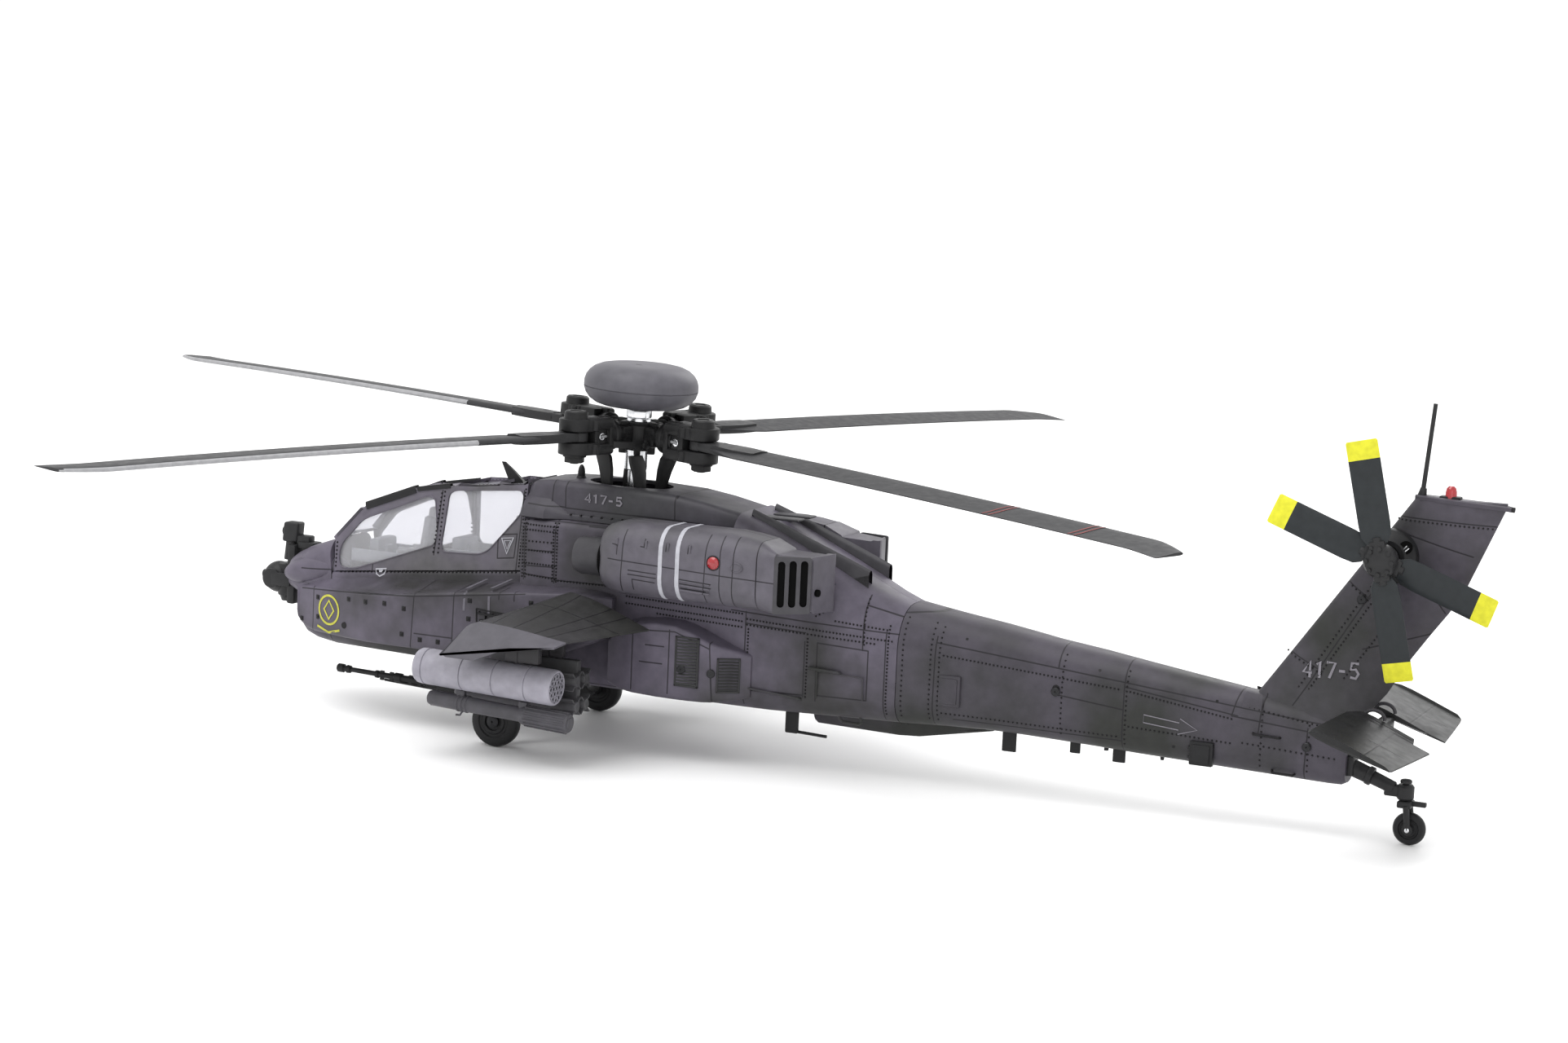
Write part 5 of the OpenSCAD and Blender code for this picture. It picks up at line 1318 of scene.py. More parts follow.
fin_front = [(222, 36), (228, 44), (231.6, 49), (275.5, 112.6)]
fin_back = [(260.4, 34), (262, 38), (270, 48), (278, 62), (291.5, 81), (304, 111.4)]
fin_chord = [(0, 0.05), (0.015, 1.1), (0.05, 1.9), (0.12, 2.5), (0.25, 2.8), (0.42, 2.8), (0.6, 2.75),
             (0.78, 2.2), (0.93, 1.2), (1, 0.45)]
fin_levels = [35, 38, 41, 44, 48, 54, 60, 68, 76, 84, 92, 100, 105, 109, 111.4]


def fin_half(x, z):
    """Half thickness of the fin at x and z."""
    front, rear = between(fin_front, z), between(fin_back, z)
    share = max(0, min(1, (x - front) / (rear - front)))
    for (s0, t0), (s1, t1) in zip(fin_chord, fin_chord[1:]):
        if share <= s1:
            return t0 + (t1 - t0) * (share - s0) / (s1 - s0)
    return 0.45


hub = (269, -16.1, 92.8)
for name, side in sides.items():
    bm = bmesh.new()
    lay(bm, [half_ring(*station) for station in boom_stations])
    end_ring = half_ring(*boom_stations[-1])
    lay(bm, [end_ring, [Vector((259.6, 0, point.z)) for point in end_ring]])
    rows = []
    for z in fin_levels:
        front, rear = between(fin_front, z), between(fin_back, z)
        foot = 1 + 1.3 * max(0, (47 - z) / 12)
        rows.append([Vector((front + share * (rear - front), half * foot, z)) for share, half in fin_chord])
    lay(bm, rows)
    top_row = rows[-1]
    lay(bm, [top_row, [Vector((p.x, p.y * 0.7, p.z + 1)) for p in top_row],
             [Vector((p.x, 0, p.z + 1.2)) for p in top_row]])
    back_edge = [row[-1] for row in rows]
    lay(bm, [back_edge, [Vector((p.x + 0.1, 0, p.z)) for p in back_edge]])
    # flat cap over the fin's top, its lip running aft to the tail light
    cap_part = bmesh.new()
    lay(cap_part, [[Vector((x, y, z)) for y, z in ((0, top - 1.5), (w, top - 1.5), (w + 0.2, top - 0.4),
                                                   (w - 0.4, top), (0, top))] for x, w, top in ((274.8, 0.8,
                112.8), (277, 2.4, 112.9), (284, 3.1, 112.7), (296, 3, 112.2), (304.4, 1.7, 111.7),
                (305.4, 1, 111.5))])
    joined(bm, cap_part)
    bmesh.ops.translate(bm, vec=(0, 0.05, 0), verts=bm.verts)
    mirrored(bm, side)
    skins["boom_" + name] = skin_of(bm)
    piece("boom_" + name, bm, boom_paint, nodes=["tail_boom_" + name], sharp=38)
bm = bmesh.new()
turned(bm, [(2.4, 9), (4.6, 8.8), (5.6, 8.3), (6.4, 7.4), (7.4, 6.4), (8.6, 5.6), (8.6, 4.2), (6.8, 4),
            (6.8, 0)], (hub[0], 0, hub[2]), (0, -1, 0), 40)
piece("tail_housing", bm, trim_black)
# A near-black disc in the housing's window paints the shade inside it.
bm = bmesh.new()
rod(bm, (hub[0] + 5.2, -5.4, hub[2] + 3.6), (hub[0] + 5.6, -7.7, hub[2] + 3.8), 2.1, sides=20)
piece("housing_window", bm, painted_recess_shade)
bright_metal, given, out = group_of(
    "bright_metal", {"Place": "NodeSocketVector", "Tone": "NodeSocketColor"},
    finish_outputs)
streaks = wire(bright_metal, "ShaderNodeTexNoise", {"Vector": given["Place"], "Scale": 900.0, "Detail": 3.0})
shine = wire(bright_metal, "ShaderNodeMapRange", {"Value": streaks.outputs["Fac"], "To Min": 0.14,
                                                  "To Max": 0.34})
tarnish = wire(bright_metal, "ShaderNodeMapRange", {"Value": streaks.outputs["Fac"], "To Min": 0.86,
                                                    "To Max": 1.1})
toned = wire(bright_metal, "ShaderNodeMix", {"Factor": 1.0, "A": given["Tone"],
                                             "B": tarnish.outputs["Result"]}, data_type="RGBA",
             blend_type="MULTIPLY")
bright_metal.links.new(toned.outputs["Result"], out["Color"])
bright_metal.links.new(shine.outputs["Result"], out["Roughness"])
bright_metal.links.new(streaks.outputs["Fac"], out["Height"])
chrome = grained("chrome", (0.72, 0.73, 0.75, 1), bright_metal, strength=0.05, Metallic=1.0)
bm = bmesh.new()
rod(bm, (hub[0] + 4.6, -7.2, hub[2] + 2.4), (hub[0] + 6.4, -7.6, hub[2] + 4.2), 0.8, sides=14)
piece("housing_glint", bm, chrome)

# ---------------------------------------------------------------- tail details
# Rivets along the boom and fin joints, dark discs that paint the shade in screw holes, the access door,
# grab rails, the marker box, and pale generic marks on the left and right.
on_boom = side_of("boom_right")


def hollow(bm, x, z, radius, place_on):
    """A near-black disc, painted shade of a deep screw hole in a moulding."""
    spot, lean = place_on(x, z)
    turn = lean.to_track_quat("Z", "Y").to_matrix().to_4x4()
    rod_verts = rod(bm, (0, 0, -1), (0, 0, 0.06), radius, sides=20)
    bmesh.ops.transform(bm, matrix=Matrix.Translation(spot) @ turn, verts=rod_verts)


def on_fin(x, z):
    """A point and outward direction on the fin's right face."""
    return Vector((x, fin_half(x, z) + 0.05, z)), Vector((0, 1, 0))


for name, side in sides.items():
    bm = bmesh.new()
    for start, end, count in (((110, 57), (110, 24), 20), ((119.6, 56), (119.6, 24), 20),
                              ((122.6, 55), (122.6, 24), 20), ((124, 46), (184, 41), 46),
                              ((124, 26.4), (184, 25.2), 40), ((165, 50), (165, 24), 16),
                              ((186.8, 47), (186.8, 23), 16), ((188, 40.6), (222, 35.4), 28),
                              ((188, 29), (222, 27.4), 24), ((226, 40), (256, 35.4), 20),
                              ((226, 28), (256, 26), 18), ((232, 38), (232, 21), 10),
                              ((247.4, 36), (247.4, 21), 9)):
        beads(bm, start, end, count, on_boom, 0.38)
    for start, end, count in (((268.6, 85), (244.6, 46), 34), ((264, 83.6), (239.4, 43.4), 30),
                              ((272, 75), (256.5, 52), 20), ((237, 58.6), (249, 52.4), 9),
                              ((270, 104.8), (300, 104.2), 22), ((257, 82), (262.4, 77.8), 5)):
        beads(bm, start, end, count, on_fin, 0.38)
    # Near-black discs paint the shade of the screw holes.
    for x, z in ((163, 39), (216.8, 40.6), (131, 52), (177, 46.4)):
        hollow(bm, x, z, 1.3 if x == 163 else 0.5, on_boom)
    for x, z in ((247, 29), (203.4, 24)):
        hollow(bm, x, z, 1.5 if x == 247 else 0.5, on_boom)
    bent_rod(bm, [(229.2, 7.4, 31.8), (229.6, 8.9, 31.4), (238, 8.6, 31), (238.4, 7.2, 31)], 0.4)
    bent_rod(bm, [(236, 6.6, 20), (236.4, 8, 19.4), (243, 7.6, 19.2), (243.4, 6.2, 19.4)], 0.4)
    mirrored(bm, side)
    piece("boom_rivets_" + name, bm, ink_and_hole_shade)
    bm = bmesh.new()
    block(bm, (122.8, 14.2, 29), (130.6, 15.8, 39.6), 0.6)
    block(bm, (123.8, 15.4, 30), (129.6, 16.2, 38.6), 0.35)
    lay(bm, [[Vector((x, y, z)) for x, y, z in ((224, 7, 35), (224.6, 8.6, 36.4), (225.4, 8, 42.6),
                                                (225.8, 6, 44.6))], [Vector((x, y, z))
                for x, y, z in ((232.6, 6.6, 34.6), (232.4, 8.2, 35.8), (231.6, 7.4, 41.6),
                                (231, 5.4, 43.8))]])
    bent_rod(bm, circle((268, 6.9, 40.6), 3.6, 3, 14, math.pi), 0.6)
    mirrored(bm, side)
    piece("boom_door_" + name, bm, boom_paint, sharp=40)
    bm = bmesh.new()
    start_x = 243 if side < 0 else -262
    numerals(bm, "417-5", start_x, 51, 5.4, 3, 0.85, rise=0.25 * -side)
    if side > 0:
        bmesh.ops.scale(bm, vec=(-1, 1, 1), verts=bm.verts)
    on_right(bm, on_fin, 0.25)
    mirrored(bm, side)
    piece("fin_numerals_" + name, bm, stripe_grey)
    bm = bmesh.new()
    arrow = [(193, 33.6), (205, 32.2), (205.2, 33.6), (211, 30.4), (204.6, 28.4), (204.8, 29.8), (193, 31)]
    ribbon(bm, arrow, 0.32, closed=True)
    on_right(bm, on_boom, 0.15)
    mirrored(bm, side)
    piece("boom_marks_" + name, bm, stripe_grey)
bm = bmesh.new()
block(bm, (209, -10.6, 19), (217, -8.4, 27), 0.5)
block(bm, (210, -11.2, 20), (216, -10, 26), 0.35)
for z in (21.5, 24.5):
    block(bm, (208.4, -10.4, z - 0.5), (209.4, -9, z + 0.5), 0.2)
rod(bm, (177.6, 0, 19.8), (177.6, 0, 18), 0.8, sides=10)
rod(bm, (197, 0, 19.4), (197, 0, 17.2), 0.9, 0.6, sides=10)
piece("marker_box", bm, trim_black)

# ---------------------------------------------------------------- belly fittings
# A foot step, a long keel fairing, handles and short aerial blades, glued under the body.
bm = bmesh.new()
lay(bm, [[Vector((x, y, z)) for y, z in ((-w, 20.4), (-w, low + 1), (-w + 0.8, low), (w - 0.8, low),
                                         (w, low + 1), (w, 20.4))] for x, w, low in ((72.6, 3, 19),
            (73.6, 4, 16.4), (75, 4.2, 15.4), (90, 4, 15), (104.5, 3.6, 14.6), (112, 3.4, 15),
            (126, 3, 17.6), (138, 2.4, 19.8))])
cap(bm)
for side in sides.values():
    bent_rod(bm, [(84, side * 14.6, 27), (84.6, side * 15.6, 25.6), (86.6, side * 12.2, 19.6),
                  (87.4, side * 11.8, 18.6), (93.4, side * 11.6, 18.4), (94.4, side * 12, 19.2),
                  (94.6, side * 15.4, 25.2), (94.8, side * 14.4, 26.6)], 0.5)
    bent_rod(bm, [(77.6, side * 19.6, 37), (78, side * 20.8, 37.4), (88.4, side * 20.2, 36.8),
                  (89, side * 19, 36.4)], 0.5)
    bent_rod(bm, [(55.4, side * 19.6, 27.4), (56, side * 20.8, 27.8), (74.4, side * 20.4, 26.4),
                  (75, side * 19.2, 26)], 0.42)
    bent_rod(bm, [(80.4, side * 19.4, 27.2), (80.6, side * 20.3, 36.6), (97, side * 19.3, 35.8),
                  (97, side * 18.6, 28)], 0.3, 6)
piece("keel_fairing", bm, boom_paint, nodes=["belly_fittings"], sharp=40)
bm = bmesh.new()
block(bm, (63.6, -6.2, 11), (68.4, -4.6, 21), 0.5)
rod(bm, (67.6, -5.4, 11.7), (79, -5.2, 11.2), 0.55, sides=10)
for x0, x1, low in ((141, 146, 13.4), (165, 168.6, 15.8), (180, 184.4, 14.6)):
    lay(bm, [[Vector((x0 + dx, -0.8 + dy, z)) for dx, dy in ((0, 0.5), (1, 0), (x1 - x0 - 0.4, 0.2),
                                                             (x1 - x0, 0.8), (x1 - x0 - 0.4, 1.4),
                                                             (1, 1.6))] for z in (21, low)], closed=True)
cap(bm)
piece("belly_aerials", bm, trim_black)

# ---------------------------------------------------------------- stabilator
# A flat tailplane in two halves on one spar, grey-green plastic with a hinge notch at the root.
stab_paint = painted("stab_paint", (0.014, 0.0145, 0.014, 1), (0.02, 0.0195, 0.021, 1),
                     roof_seams=[(276, -7, 275, -50), (276, 7, 275, 50), (262, -9, 286, -9),
                                 (262, 9, 286, 9), (272, -30, 284, -30), (272, 30, 284, 30)])


def stab_ring(y, x0, x1):
    """Closed section of the tailplane at y."""
    run = x1 - x0
    drop = 9.8 * run / 28
    line = [(0, 0), (0.03, 0.9), (0.12, 1.5), (0.3, 1.6), (0.6, 1.1), (0.85, 0.6), (1, 0.3), (1, -0.3),
            (0.85, -0.5), (0.6, -0.9), (0.3, -1.2), (0.12, -1.1), (0.03, -0.7)]
    return [Vector((x0 + share * run, y, 42.3 - share * drop + half * 0.8)) for share, half in line]


bm = bmesh.new()
for side in sides.values():
    part = bmesh.new()
    lay(part, [stab_ring(*row) for row in ((7.2, 262.6, 281.5), (10.4, 259.4, 282), (10.8, 259.2, 287.4),
                                           (30, 258.2, 285.8), (47, 257.4, 284.3), (49.4, 258, 284),
                                           (50, 260.4, 282.6))], closed=True)
    cap(part)
    mirrored(part, side)
    joined(bm, part)
block(bm, (267, -7.5, 35), (271.5, 7.5, 39.4), 0.7)
piece("tailplane", bm, stab_paint, nodes=["stabilator"], sharp=36)

# ---------------------------------------------------------------- tail wheel
# A black arm fixed to the boom's end, a fork that swivels in it with a centring lever, and a small
# wheel that turns on a bright pin.
swivel = 278.3
bm = bmesh.new()
for x0, z0, r0, x1, z1, r1 in ((258.6, 23.6, 2.9, 266, 21, 2.7), (266, 21, 2.3, 274.6, 17.8, 2.1)):
    rod(bm, (x0, 0, z0), (x1, 0, z1), r0, r1, sides=20, cut=0.35)
rod(bm, (265.6, 0, 21.2), (267.4, 0, 20.6), 3.1, sides=20, cut=0.3)
block(bm, (258.8, -3.4, 20.4), (261.6, 3.4, 27), 0.6)
block(bm, (271.6, -1.8, 15.4), (277.4, 1.8, 19), 0.5)
turned(bm, [(14.6, 1.06), (14.6, 2.3), (15.2, 2.8), (18.8, 2.8), (19.6, 2.2), (19.6, 1.06)], (swivel, 0, 0),
       (0, 0, 1), 28)
rod(bm, (262, 2.4, 20.6), (273, 1.6, 16.4), 0.6, sides=10)
piece("tail_strut", bm, gun_black, nodes=["tail_gear_arm"], sharp=36)
bm = bmesh.new()
turned(bm, [(12.2, 0), (12.2, 1), (20.1, 1), (20.1, 1.9), (20.9, 1.9), (21.2, 1.4), (21.2, 0)],
       (swivel, 0, 0), (0, 0, 1), 20)
block(bm, (swivel - 2, -3.2, 12.2), (swivel + 2.6, 3.2, 14.4), 0.5)
block(bm, (swivel + 1.4, -1, 12.8), (swivel + 7, 1, 14.4), 0.4)
for y in (-2.7, 2.7):
    rod(bm, (swivel + 1, y, 13), (280.3, y, 5.4), 1.05, sides=12)
    rod(bm, (280.3, y - 0.5, 5.4), (280.3, y + 0.5, 5.4), 1.7, sides=20, cut=0.15)
piece("fork", bm, gun_black, body="swivel_fork", nodes=["tail_fork"], sharp=36)
bm = bmesh.new()
rod(bm, (280.3, -3.7, 5.4), (280.3, 3.7, 5.4), 0.8, sides=16, cut=0.15)
piece("fork_pin", bm, chrome, body="swivel_fork")
bm = bmesh.new()
turned(bm, [(-1.5, 0.83), (-1.5, 2.4), (-1.2, 2.7), (-1.2, 3.1), (-1.6, 3.4), (-1.5, 4.6), (-0.9, 5.2),
            (0, 5.4), (0.9, 5.2), (1.5, 4.6), (1.6, 3.4), (1.2, 3.1), (1.2, 2.7), (1.5, 2.4), (1.5, 0.83),
            (-1.5, 0.83)], (280.3, 0, 5.4), (0, 1, 0), 36)
piece("wheel_tail", bm, tyre_black, body="rear_wheel", nodes=["tail_wheel"], sharp=36)

# ---------------------------------------------------------------- tail rotor
# Two pairs of pitched plastic blades on one hub, black with yellow tips, clamped by small screws
# and turned by the motor in the fin.
blade_black = grained("blade_black", (0.02, 0.023, 0.025, 1))
tail_turns = [Matrix.Rotation(-math.radians(pair + half), 4, "Y") @ Matrix.Translation((0, height, 0))
              for pair, height in ((103, -1.1), (159.5, 1.4)) for half in (0, 180)]
tip_yellow = grained("tip_yellow", (0.62, 0.6, 0.03, 1), worn_ink)
bm = bmesh.new()
turned(bm, [(-3.6, 0), (-3.6, 2.2), (-3, 3.4), (-3, 4.6), (-1.8, 5.4), (1.4, 5.4), (2.2, 4.8), (3.4, 4.6),
            (3.4, 1.2), (13, 1), (13, 0)], (0, 0, 0), (0, 1, 0), 32)
for i in range(8):
    turn = math.tau * i / 8
    rod(bm, (4.1 * math.cos(turn), -3.6, 4.1 * math.sin(turn)),
        (4.1 * math.cos(turn), -2.4, 4.1 * math.sin(turn)), 0.7, sides=8)
for turn in tail_turns:
    part = bmesh.new()
    rod(part, (2, 0, 0), (7.6, 0, 0), 1.9, 1.5, sides=14, cut=0.2)
    block(part, (3, -1.6, -2.6), (6.4, 1.6, 2.6), 0.5)
    rod(part, (4.6, -2.2, 1.7), (4.6, 2.2, 1.7), 0.6, sides=8)
    joined(bm, part, turn)
bm.transform(Matrix.Translation(hub))
piece("tail_rotor_hub", bm, gun_black, body="rear_rotor", nodes=["tail_rotor"], sharp=36)
bm = bmesh.new()
blade_line = [(-0.5, 0), (-0.46, 0.35), (-0.3, 0.62), (0, 0.68), (0.3, 0.5), (0.5, 0.1), (0.5, -0.1),
              (0.3, -0.4), (0, -0.5), (-0.3, -0.45), (-0.46, -0.28)]
for turn in tail_turns:
    part = bmesh.new()
    lay(part, [[Vector((r, t * thick, s * chord)) for s, t in blade_line]
               for r, chord, thick in ((5.6, 6.4, 1.5), (8, 9.4, 1.2), (12, 10, 1), (22, 10, 0.9),
                                       (32.3, 10, 0.8), (32.5, 10, 0.8), (37.8, 10, 0.7),
                                       (38.4, 9.2, 0.5))], closed=True)
    cap(part)
    for face in part.faces:
        face.material_index = int(face.calc_center_median().x > 32.4)
    part.transform(Matrix.Rotation(math.radians(12), 4, "X"))
    joined(bm, part, turn)
bm.transform(Matrix.Translation(hub))
piece("tail_rotor_blades", bm, [blade_black, tip_yellow], body="rear_rotor", sharp=36)

# ---------------------------------------------------------------- lights and rod aerial
# A red dome on the fin's cap, red side lights on the cowls, and a thin rod aerial.
red_lens, tree, shader = finish_of("red_lens", {"Coat Weight": 0.6, "Coat Roughness": 0.1,
                                                "Subsurface Weight": 0.1})
spot = wire(tree, "ShaderNodeTexCoord").outputs["Object"]
depth = wire(tree, "ShaderNodeTexNoise", {"Vector": spot, "Scale": 400.0, "Detail": 2.0})
glow = wire(tree, "ShaderNodeMix", {"Factor": depth.outputs["Fac"], "A": (0.2, 0.003, 0.006, 1),
                                    "B": (0.4, 0.01, 0.018, 1)}, data_type="RGBA")
ruby = wire(tree, "ShaderNodeMapRange", {"Value": depth.outputs["Fac"], "To Min": 0.12, "To Max": 0.28})
tree.links.new(glow.outputs["Result"], shader.inputs["Base Color"])
tree.links.new(ruby.outputs["Result"], shader.inputs["Roughness"])
bm = bmesh.new()
turned(bm, [(112.4, 1.9), (114.6, 1.8), (115.8, 1.5), (116.5, 0.8), (116.6, 0)], (286, 0, 0), (0, 0, 1), 24)
for y in (-1, 1):
    turned(bm, [(37.6, 2.2), (38.4, 2.1), (39, 1.5), (39.2, 0.7), (39.25, 0)], (48.7, 0, 72.2), (0, y, 0),
           24)
piece("lamp_lenses", bm, red_lens, nodes=["signal_lights"])
bm = bmesh.new()
block(bm, (282.6, -1.8, 112.2), (289.4, 1.8, 113.3), 0.4)
for y in (-1, 1):
    turned(bm, [(37.2, 2.6), (38.1, 2.6), (38.2, 2.3), (37.2, 2.2)], (48.7, 0, 72.2), (0, y, 0), 24)
rod(bm, (304, 0, 110.9), (306.4, 0, 110.7), 0.9, sides=12, cut=0.2)
piece("lamp_bases", bm, trim_black)
bm = bmesh.new()
rod(bm, (276.8, 0, 112.6), (277.2, 0, 115.2), 1.5, 1, sides=16, cut=0.2)
rod(bm, (277, 0, 114), (279.1, 0, 142), 0.78, 0.7, sides=14)
piece("aerial_rod", bm, gun_black, nodes=["rod_antenna"])

# ---------------------------------------------------------------- rotor head
# A black hub block on the shaft with four yoke arms. Each arm carries a grip that turns in
# pitch, and each grip holds a blade between two lugs on one bolt. The whole head leans back.
mast_lean = math.radians(2.1)
blade_pitch = math.radians(2)
first_arm = 72.4
lean_back = Matrix.Translation((0, 0, hub_z)) @ Matrix.Rotation(mast_lean, 4, "Y")
arms = {letter: lean_back @ Matrix.Rotation(math.radians(first_arm + 90 * i), 4, "Z")
        for i, letter in enumerate("abcd")}
grips = {letter: arm @ Matrix.Rotation(blade_pitch, 4, "X") for letter, arm in arms.items()}
bolt_at = 30.8
head_black = grained("head_black", (0.012, 0.012, 0.0125, 1), strength=0.4, distance=0.00008)
bm = bmesh.new()
turned(bm, [(-5.2, 2.6), (-5.2, 5.6), (-4.4, 6.6), (3, 6.6), (3.8, 6), (4.2, 4.4), (4.2, 0)], (0, 0, 0),
       (0, 0, 1), 40)
for i in range(4):
    turn = Matrix.Rotation(math.radians(first_arm + 90 * i), 4, "Z")
    part = bmesh.new()
    block(part, (3, -3.2, -3.9), (10.6, 3.2, 3), 0.9)
    rod(part, (9, 0, 0), (12.8, 0, 0), 3.3, sides=24, cut=0.3)
    rod(part, (12, 0, 0), (13, 0, 0), 4.2, sides=24, cut=0.25)
    block(part, (5.4, -1, 2.4), (9.4, 1, 4.4), 0.4)
    rod(part, (7.6, -3.4, -0.6), (7.6, 3.4, -0.6), 1.1, sides=14)
    joined(bm, part, turn)
    part = bmesh.new()
    block(part, (3.6, -1.2, -7.4), (6.4, 1.2, -3), 0.5)
    joined(bm, part, Matrix.Rotation(math.radians(27.4 + 90 * i), 4, "Z"))
piece("hub_block", bm, head_black, body="main_rotor", nodes=["rotor_hub"], place=lean_back,
      sharp=36)
bm = bmesh.new()
turned(bm, [(-13, 2.55), (-13, 3.9), (-12.6, 4.2), (-6, 4.2), (-5.4, 3.8), (-5.4, 2.55), (-13, 2.55)],
       (0, 0, 0), (0, 0, 1), 40)
turned(bm, [(4.3, 0), (4.3, 4.4), (5.2, 4.4), (5.2, 3.2), (7.8, 3.2), (7.9, 2.9), (9.15, 2.9), (9.15, 0)],
       (0, 0, 0), (0, 0, 1), 40)
rod(bm, (0, 0, 5.4), (0, 0, 8.2), 4.5, sides=6, cut=0.35)
piece("post_and_nut", bm, chrome, body="main_rotor", nodes=["radome_post"], place=lean_back,
      sharp=30)

# ---------------------------------------------------------------- blade grips
# Chunky black mouldings: a flanged round end, a ribbed box body with a slot for a bright screw,
# two lugs with bolt bosses, and a pitch arm.
for letter, place in grips.items():
    bm = bmesh.new()
    turned(bm, [(13.3, 1.6), (13.3, 5), (13.7, 5.4), (15, 5.4), (15.4, 4.9), (20, 4.9), (20, 1.6)],
           (0, 0, 0), (1, 0, 0), 32)
    block(bm, (17, -5.4, 2.4), (27.4, 5.4, 6.3), 1)
    block(bm, (17, -5.4, -6.3), (27.4, 5.4, -2.4), 1)
    block(bm, (17, -4.2, -5.6), (25.4, 4.2, 5.6), 0.5)
    for x in (17, 24.2):
        block(bm, (x, -5.3, -5.8), (x + 2.2, 5.3, 5.8), 0.5)
    for sign in (-1, 1):
        low, high = (1.9, 6.2) if sign > 0 else (-6.2, -1.9)
        rod(bm, (bolt_at, 0, low), (bolt_at, 0, high), 5.8, sides=36, cut=0.5)
        block(bm, (24, -5.7, low), (bolt_at, 5.7, high), 0.6)
        for y in (-5.9, 5.9):
            rod(bm, (26.6, y * 0.9, low + 0.4), (26.6, y * 0.9, high - 0.4), 1.4, sides=14, cut=0.2)
        block(bm, (15, -1, sign * 5.6 - 0.9), (21, 1, sign * 5.6 + 0.9), 0.35)
    turned(bm, [(6, 4.4), (6.4, 4.2), (8.4, 4), (8.9, 3.4), (8.9, 2.2), (8.2, 2), (8.2, 0)],
           (bolt_at, 0, 0), (0, 0, 1), 32)
    turned(bm, [(-6, 4.4), (-6.4, 4.1), (-7, 4), (-7, 0)], (bolt_at, 0, 0), (0, 0, 1), 32)
    rod(bm, (bolt_at, 0, -9), (bolt_at, 0, -6.6), 3.6, sides=6, cut=0.3)
    rod(bm, (bolt_at, 0, -9.4), (bolt_at, 0, 8.6), 1.5, sides=16)
    part = bmesh.new()
    lay(part, [[Vector((x + dx, y, z + dz)) for dx, dz in ((-1.3, -1.1), (1.3, -1.1), (1.3, 1.1),
                                                           (-1.3, 1.1))] for x, y, z in ((17.5, 4, -2.6),
                (15, 5.8, -3), (11, 7.4, -3.2), (7, 8.2, -3.4), (5, 8.2, -3.5))], closed=True)
    cap(part)
    joined(bm, part)
    rod(bm, (5, 7, -3.5), (5, 9.4, -3.5), 1.4, sides=18, cut=0.2)
    piece("grip_body_" + letter, bm, head_black, body="grip_" + letter,
          nodes=["blade_grip_" + letter], place=place, sharp=36)
    bm = bmesh.new()
    for y in (-1, 1):
        rod(bm, (22.6, y * 4, 0), (22.6, y * 4.9, 0), 1.3, sides=18, cut=0.15)
        rod(bm, (19.4, y * 3.9, 0), (23.6, y * 4.6, 0), 0.75, sides=12)
    piece("grip_screw_" + letter, bm, chrome, body="grip_" + letter, place=place)

# ---------------------------------------------------------------- pitch links
# Four tapered black arms that rise from the swashplate star to the grips' pitch arms.
bm = bmesh.new()
for i in range(4):
    part = bmesh.new()
    rows = [(5, 8.1, -21.6, 1.6, 1.3), (5.4, 8.1, -18, 2.2, 1.3), (6.4, 8.1, -13, 2.9, 1.2),
            (7.8, 8.1, -9, 3.4, 1.1), (9, 8.2, -6.6, 3, 0.9)]
    lay(part, [[Vector((x + dx * wide, y + dy * deep, z))
                for dx, dy in ((-1, -0.6), (-0.6, -1), (0.6, -1), (1, -0.6), (1, 0.6), (0.6, 1), (-0.6, 1),
                               (-1, 0.6))] for x, y, z, wide, deep in rows], closed=True)
    cap(part)
    rod(part, (5, 8.1, -22.2), (5, 8.1, -20), 1.7, sides=16, cut=0.2)
    joined(bm, part, Matrix.Rotation(math.radians(first_arm + 90 * i), 4, "Z"))
piece("link_arms", bm, head_black, body="swash_star", nodes=["pitch_links"],
      place=lean_back, sharp=36)

# ---------------------------------------------------------------- main blades
# Four dark composite blades with a stepped root cuff, swept square tips and a pale strip along
# the outer leading edge. They swing about their bolts and sag a little.
blade_reach = 235.7
blade_chord = 17
ahead_of_axis = 0.34
blade_grey = grained("blade_grey", (0.04, 0.04, 0.042, 1), strength=0.15, **{"Specular IOR Level": 0.06})
blade_strip = grained("blade_strip", (0.3, 0.3, 0.31, 1), worn_ink)
cuff_grey = grained("cuff_grey", (0.022, 0.022, 0.023, 1))
blade_red = grained("blade_red", (0.2, 0.03, 0.03, 1), worn_ink)
lags = {"a": 1.3, "b": 4.3, "c": -3.3, "d": -1.2}
section = [(0, 0), (0.012, 0.3), (0.05, 0.55), (0.14, 0.62), (0.3, 0.6), (0.55, 0.42), (0.8, 0.2),
           (1, 0.09), (1, -0.09), (0.7, -0.2), (0.35, -0.36), (0.14, -0.42), (0.05, -0.36), (0.012, -0.2)]


def blade_z(x):
    """Height of the drooping blade at x."""
    return -3.1 * ((x - bolt_at) / (blade_reach - bolt_at)) ** 2


def blade_rib(x, chord, thick, sweep):
    """Closed blade section at x; the leading edge is on +Y."""
    return [Vector((x, ahead_of_axis * chord - sweep - share * chord, blade_z(x) + half * thick))
            for share, half in section]


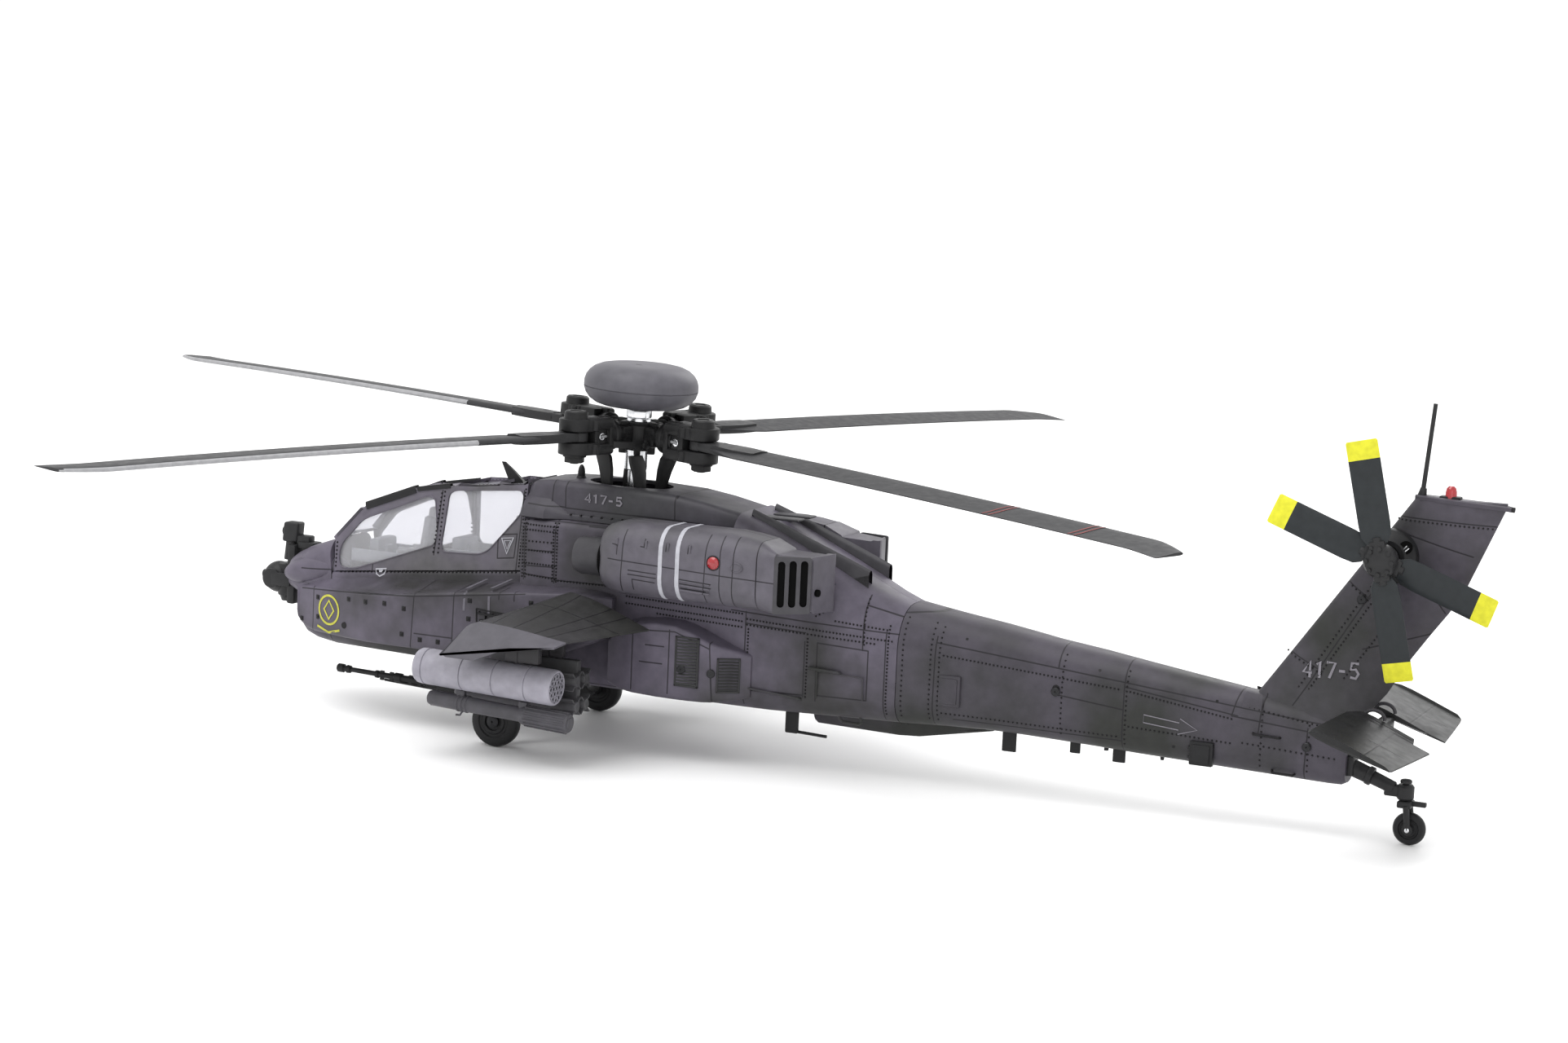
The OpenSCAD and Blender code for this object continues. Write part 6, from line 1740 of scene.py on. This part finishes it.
for letter, place in grips.items():
    swing = place @ Matrix.Translation((bolt_at, 0, 0))
    swing = swing @ Matrix.Rotation(math.radians(lags[letter]), 4,
                                    "Z") @ Matrix.Translation((-bolt_at, 0, 0))
    bm = bmesh.new()
    rows = [(38.8, 8, 3, -1.2), (40, 8.8, 2.9, -1.1), (44.8, 11, 2.6, -0.6), (50, 14.6, 2.3, -0.2),
            (54.6, 16.6, 2.1, 0), (58, 17, 2.1, 0)]
    rows += [(58 + i * (220.7 - 58) / 8, blade_chord, 2.1 - 0.06 * i, 0) for i in range(1, 9)]
    rows += [(224, 16.9, 1.6, 0.5), (229, 16, 1.4, 2.4), (234.4, 14.4, 1.2, 5), (235.7, 13.6, 1, 5.6)]
    lay(bm, [blade_rib(*row) for row in rows], closed=True)
    cap(bm)
    for face in bm.faces:
        spot = face.calc_center_median()
        lead = ahead_of_axis * blade_chord - max(0, spot.x - 222) * 0.4
        if spot.x > 78 and spot.y > lead - 1.2:
            face.material_index = 1
    piece("blade_skin_" + letter, bm, [blade_grey, blade_strip], body="blade_" + letter,
          nodes=["main_blade_" + letter], place=swing, sharp=34)
    bm = bmesh.new()
    rod(bm, (bolt_at, 0, -1.6), (bolt_at, 0, 1.6), 4.4, sides=28, cut=0.2)
    block(bm, (bolt_at, -4, -1.55), (bolt_at + 10, 4, 1.55), 0.4)
    part = bmesh.new()
    lay(part, [[Vector((x, y, blade_z(x) + z)) for y, z in ((-w, -1.5), (0, -1.75), (w, -1.5), (w + 0.3, 0),
                                                            (w, 1.5), (0, 1.9), (-w, 1.5), (-w - 0.3, 0))]
               for x, w in ((39, 3.9), (43, 4.6), (50, 5), (57.6, 4.2), (58.4, 3.4))], closed=True)
    cap(part)
    joined(bm, part)
    piece("blade_cuff_" + letter, bm, cuff_grey, body="blade_" + letter, place=swing,
          sharp=34)
    if letter == "d":
        bm = bmesh.new()
        for x in (164.6, 167, 199, 201.4):
            top = [(ahead_of_axis * blade_chord - share * blade_chord, half) for share, half in section[2:8]]
            lay(bm, [[Vector((x + dx, y, blade_z(x) + half * 1.8 + 0.1)) for y, half in top]
                     for dx in (0, 0.7)])
        piece("blade_marks", bm, blade_red, body="blade_" + letter, place=swing)

# ---------------------------------------------------------------- radar dome
# A flattened dome over the hub, moulded in two halves that meet in a fine groove.
dome_grey = painted("dome_grey", (0.098, 0.095, 0.109, 1), (0.09, 0.088, 0.1, 1))
bm = bmesh.new()
dome_profile = [(0, 0), (0, 11.4), (0.2, 13.4), (1, 15.8), (2.4, 17.9), (4.2, 19.3), (5.8, 19.85),
                (6.4, 20), (6.45, 19.7), (6.75, 19.7), (6.8, 20), (8.6, 19.95), (10.4, 19.4), (12, 18.3),
                (13.3, 16.7), (14.3, 14.4), (14.75, 12), (14.9, 8), (14.9, 0)]
turned(bm, [(9.2 + up_by, radius) for up_by, radius in dome_profile], (0, 0, 0), (0, 0, 1), 72)
piece("dome_shell", bm, dome_grey, body="main_rotor", nodes=["radome"], place=lean_back,
      sharp=24)
bm = bmesh.new()
block(bm, (-1.2, -0.35, 23.8), (1.2, 0.35, 24.15), 0.1, 1)
piece("dome_slot", bm, ink_and_hole_shade, body="main_rotor",
      place=lean_back @ Matrix.Translation((0, -3, 0)))

# ---------------------------------------------------------------- body screws
# Cross-head screws that hold the left half of the body: two in the bay, two in the boom, one in
# the fin.
bm = bmesh.new()
for x, y, z in ((34, -28.6, 33), (163, -12.5, 38), (247, -7.4, 29), (260.5, -2.9, 78)):
    cross_screw(bm, Vector((x, y, z)), (0, -1, 0), 1.5)
cross_screw(bm, Vector((44.8, -27.9, 32.6)), (0.5, -0.86, 0), 1.5)
piece("screw_heads", bm, screw_steel, nodes=["body_screws"])

# ---------------------------------------------------------------- works inside the body
# The chassis, battery, board, motors, gears and control linkage keep their own shapes and get
# the finishes of their real materials: moulded nylon, shrink wrap, steel, brass and alloy.
cell_wrap = grained("cell_wrap", (0.03, 0.09, 0.22, 1), strength=0.3, distance=0.0001)
board_green = grained("board_green", (0.01, 0.11, 0.04, 1), strength=0.4)
motor_steel = grained("motor_steel", (0.42, 0.43, 0.45, 1), bright_metal, Metallic=1.0)
pinion_brass = grained("pinion_brass", (0.6, 0.42, 0.14, 1), bright_metal, Metallic=1.0)
gear_nylon = grained("gear_nylon", (0.72, 0.7, 0.62, 1), worn_ink, strength=0.1)
servo_blue = grained("servo_blue", (0.02, 0.05, 0.16, 1))
swash_alloy = grained("swash_alloy", (0.5, 0.51, 0.53, 1), bright_metal, Metallic=1.0)
frame_plastic = grained("frame_plastic", (0.035, 0.036, 0.04, 1))
inner_finishes = {"chassis_frame": frame_plastic, "shaft_bearings": motor_steel, "battery_pack": cell_wrap,
                  "circuit_board": board_green, "main_motor": motor_steel, "motor_pinion": pinion_brass,
                  "main_gear": gear_nylon, "main_shaft": chrome, "swash_servos": servo_blue,
                  "servo_horns": gear_nylon, "swashplate_lower": swash_alloy,
                  "swashplate_upper": swash_alloy, "tail_motor": motor_steel}
for name, finish in inner_finishes.items():
    part_mesh = bpy.data.objects[name].data
    part_mesh.materials.clear()
    part_mesh.materials.append(finish)
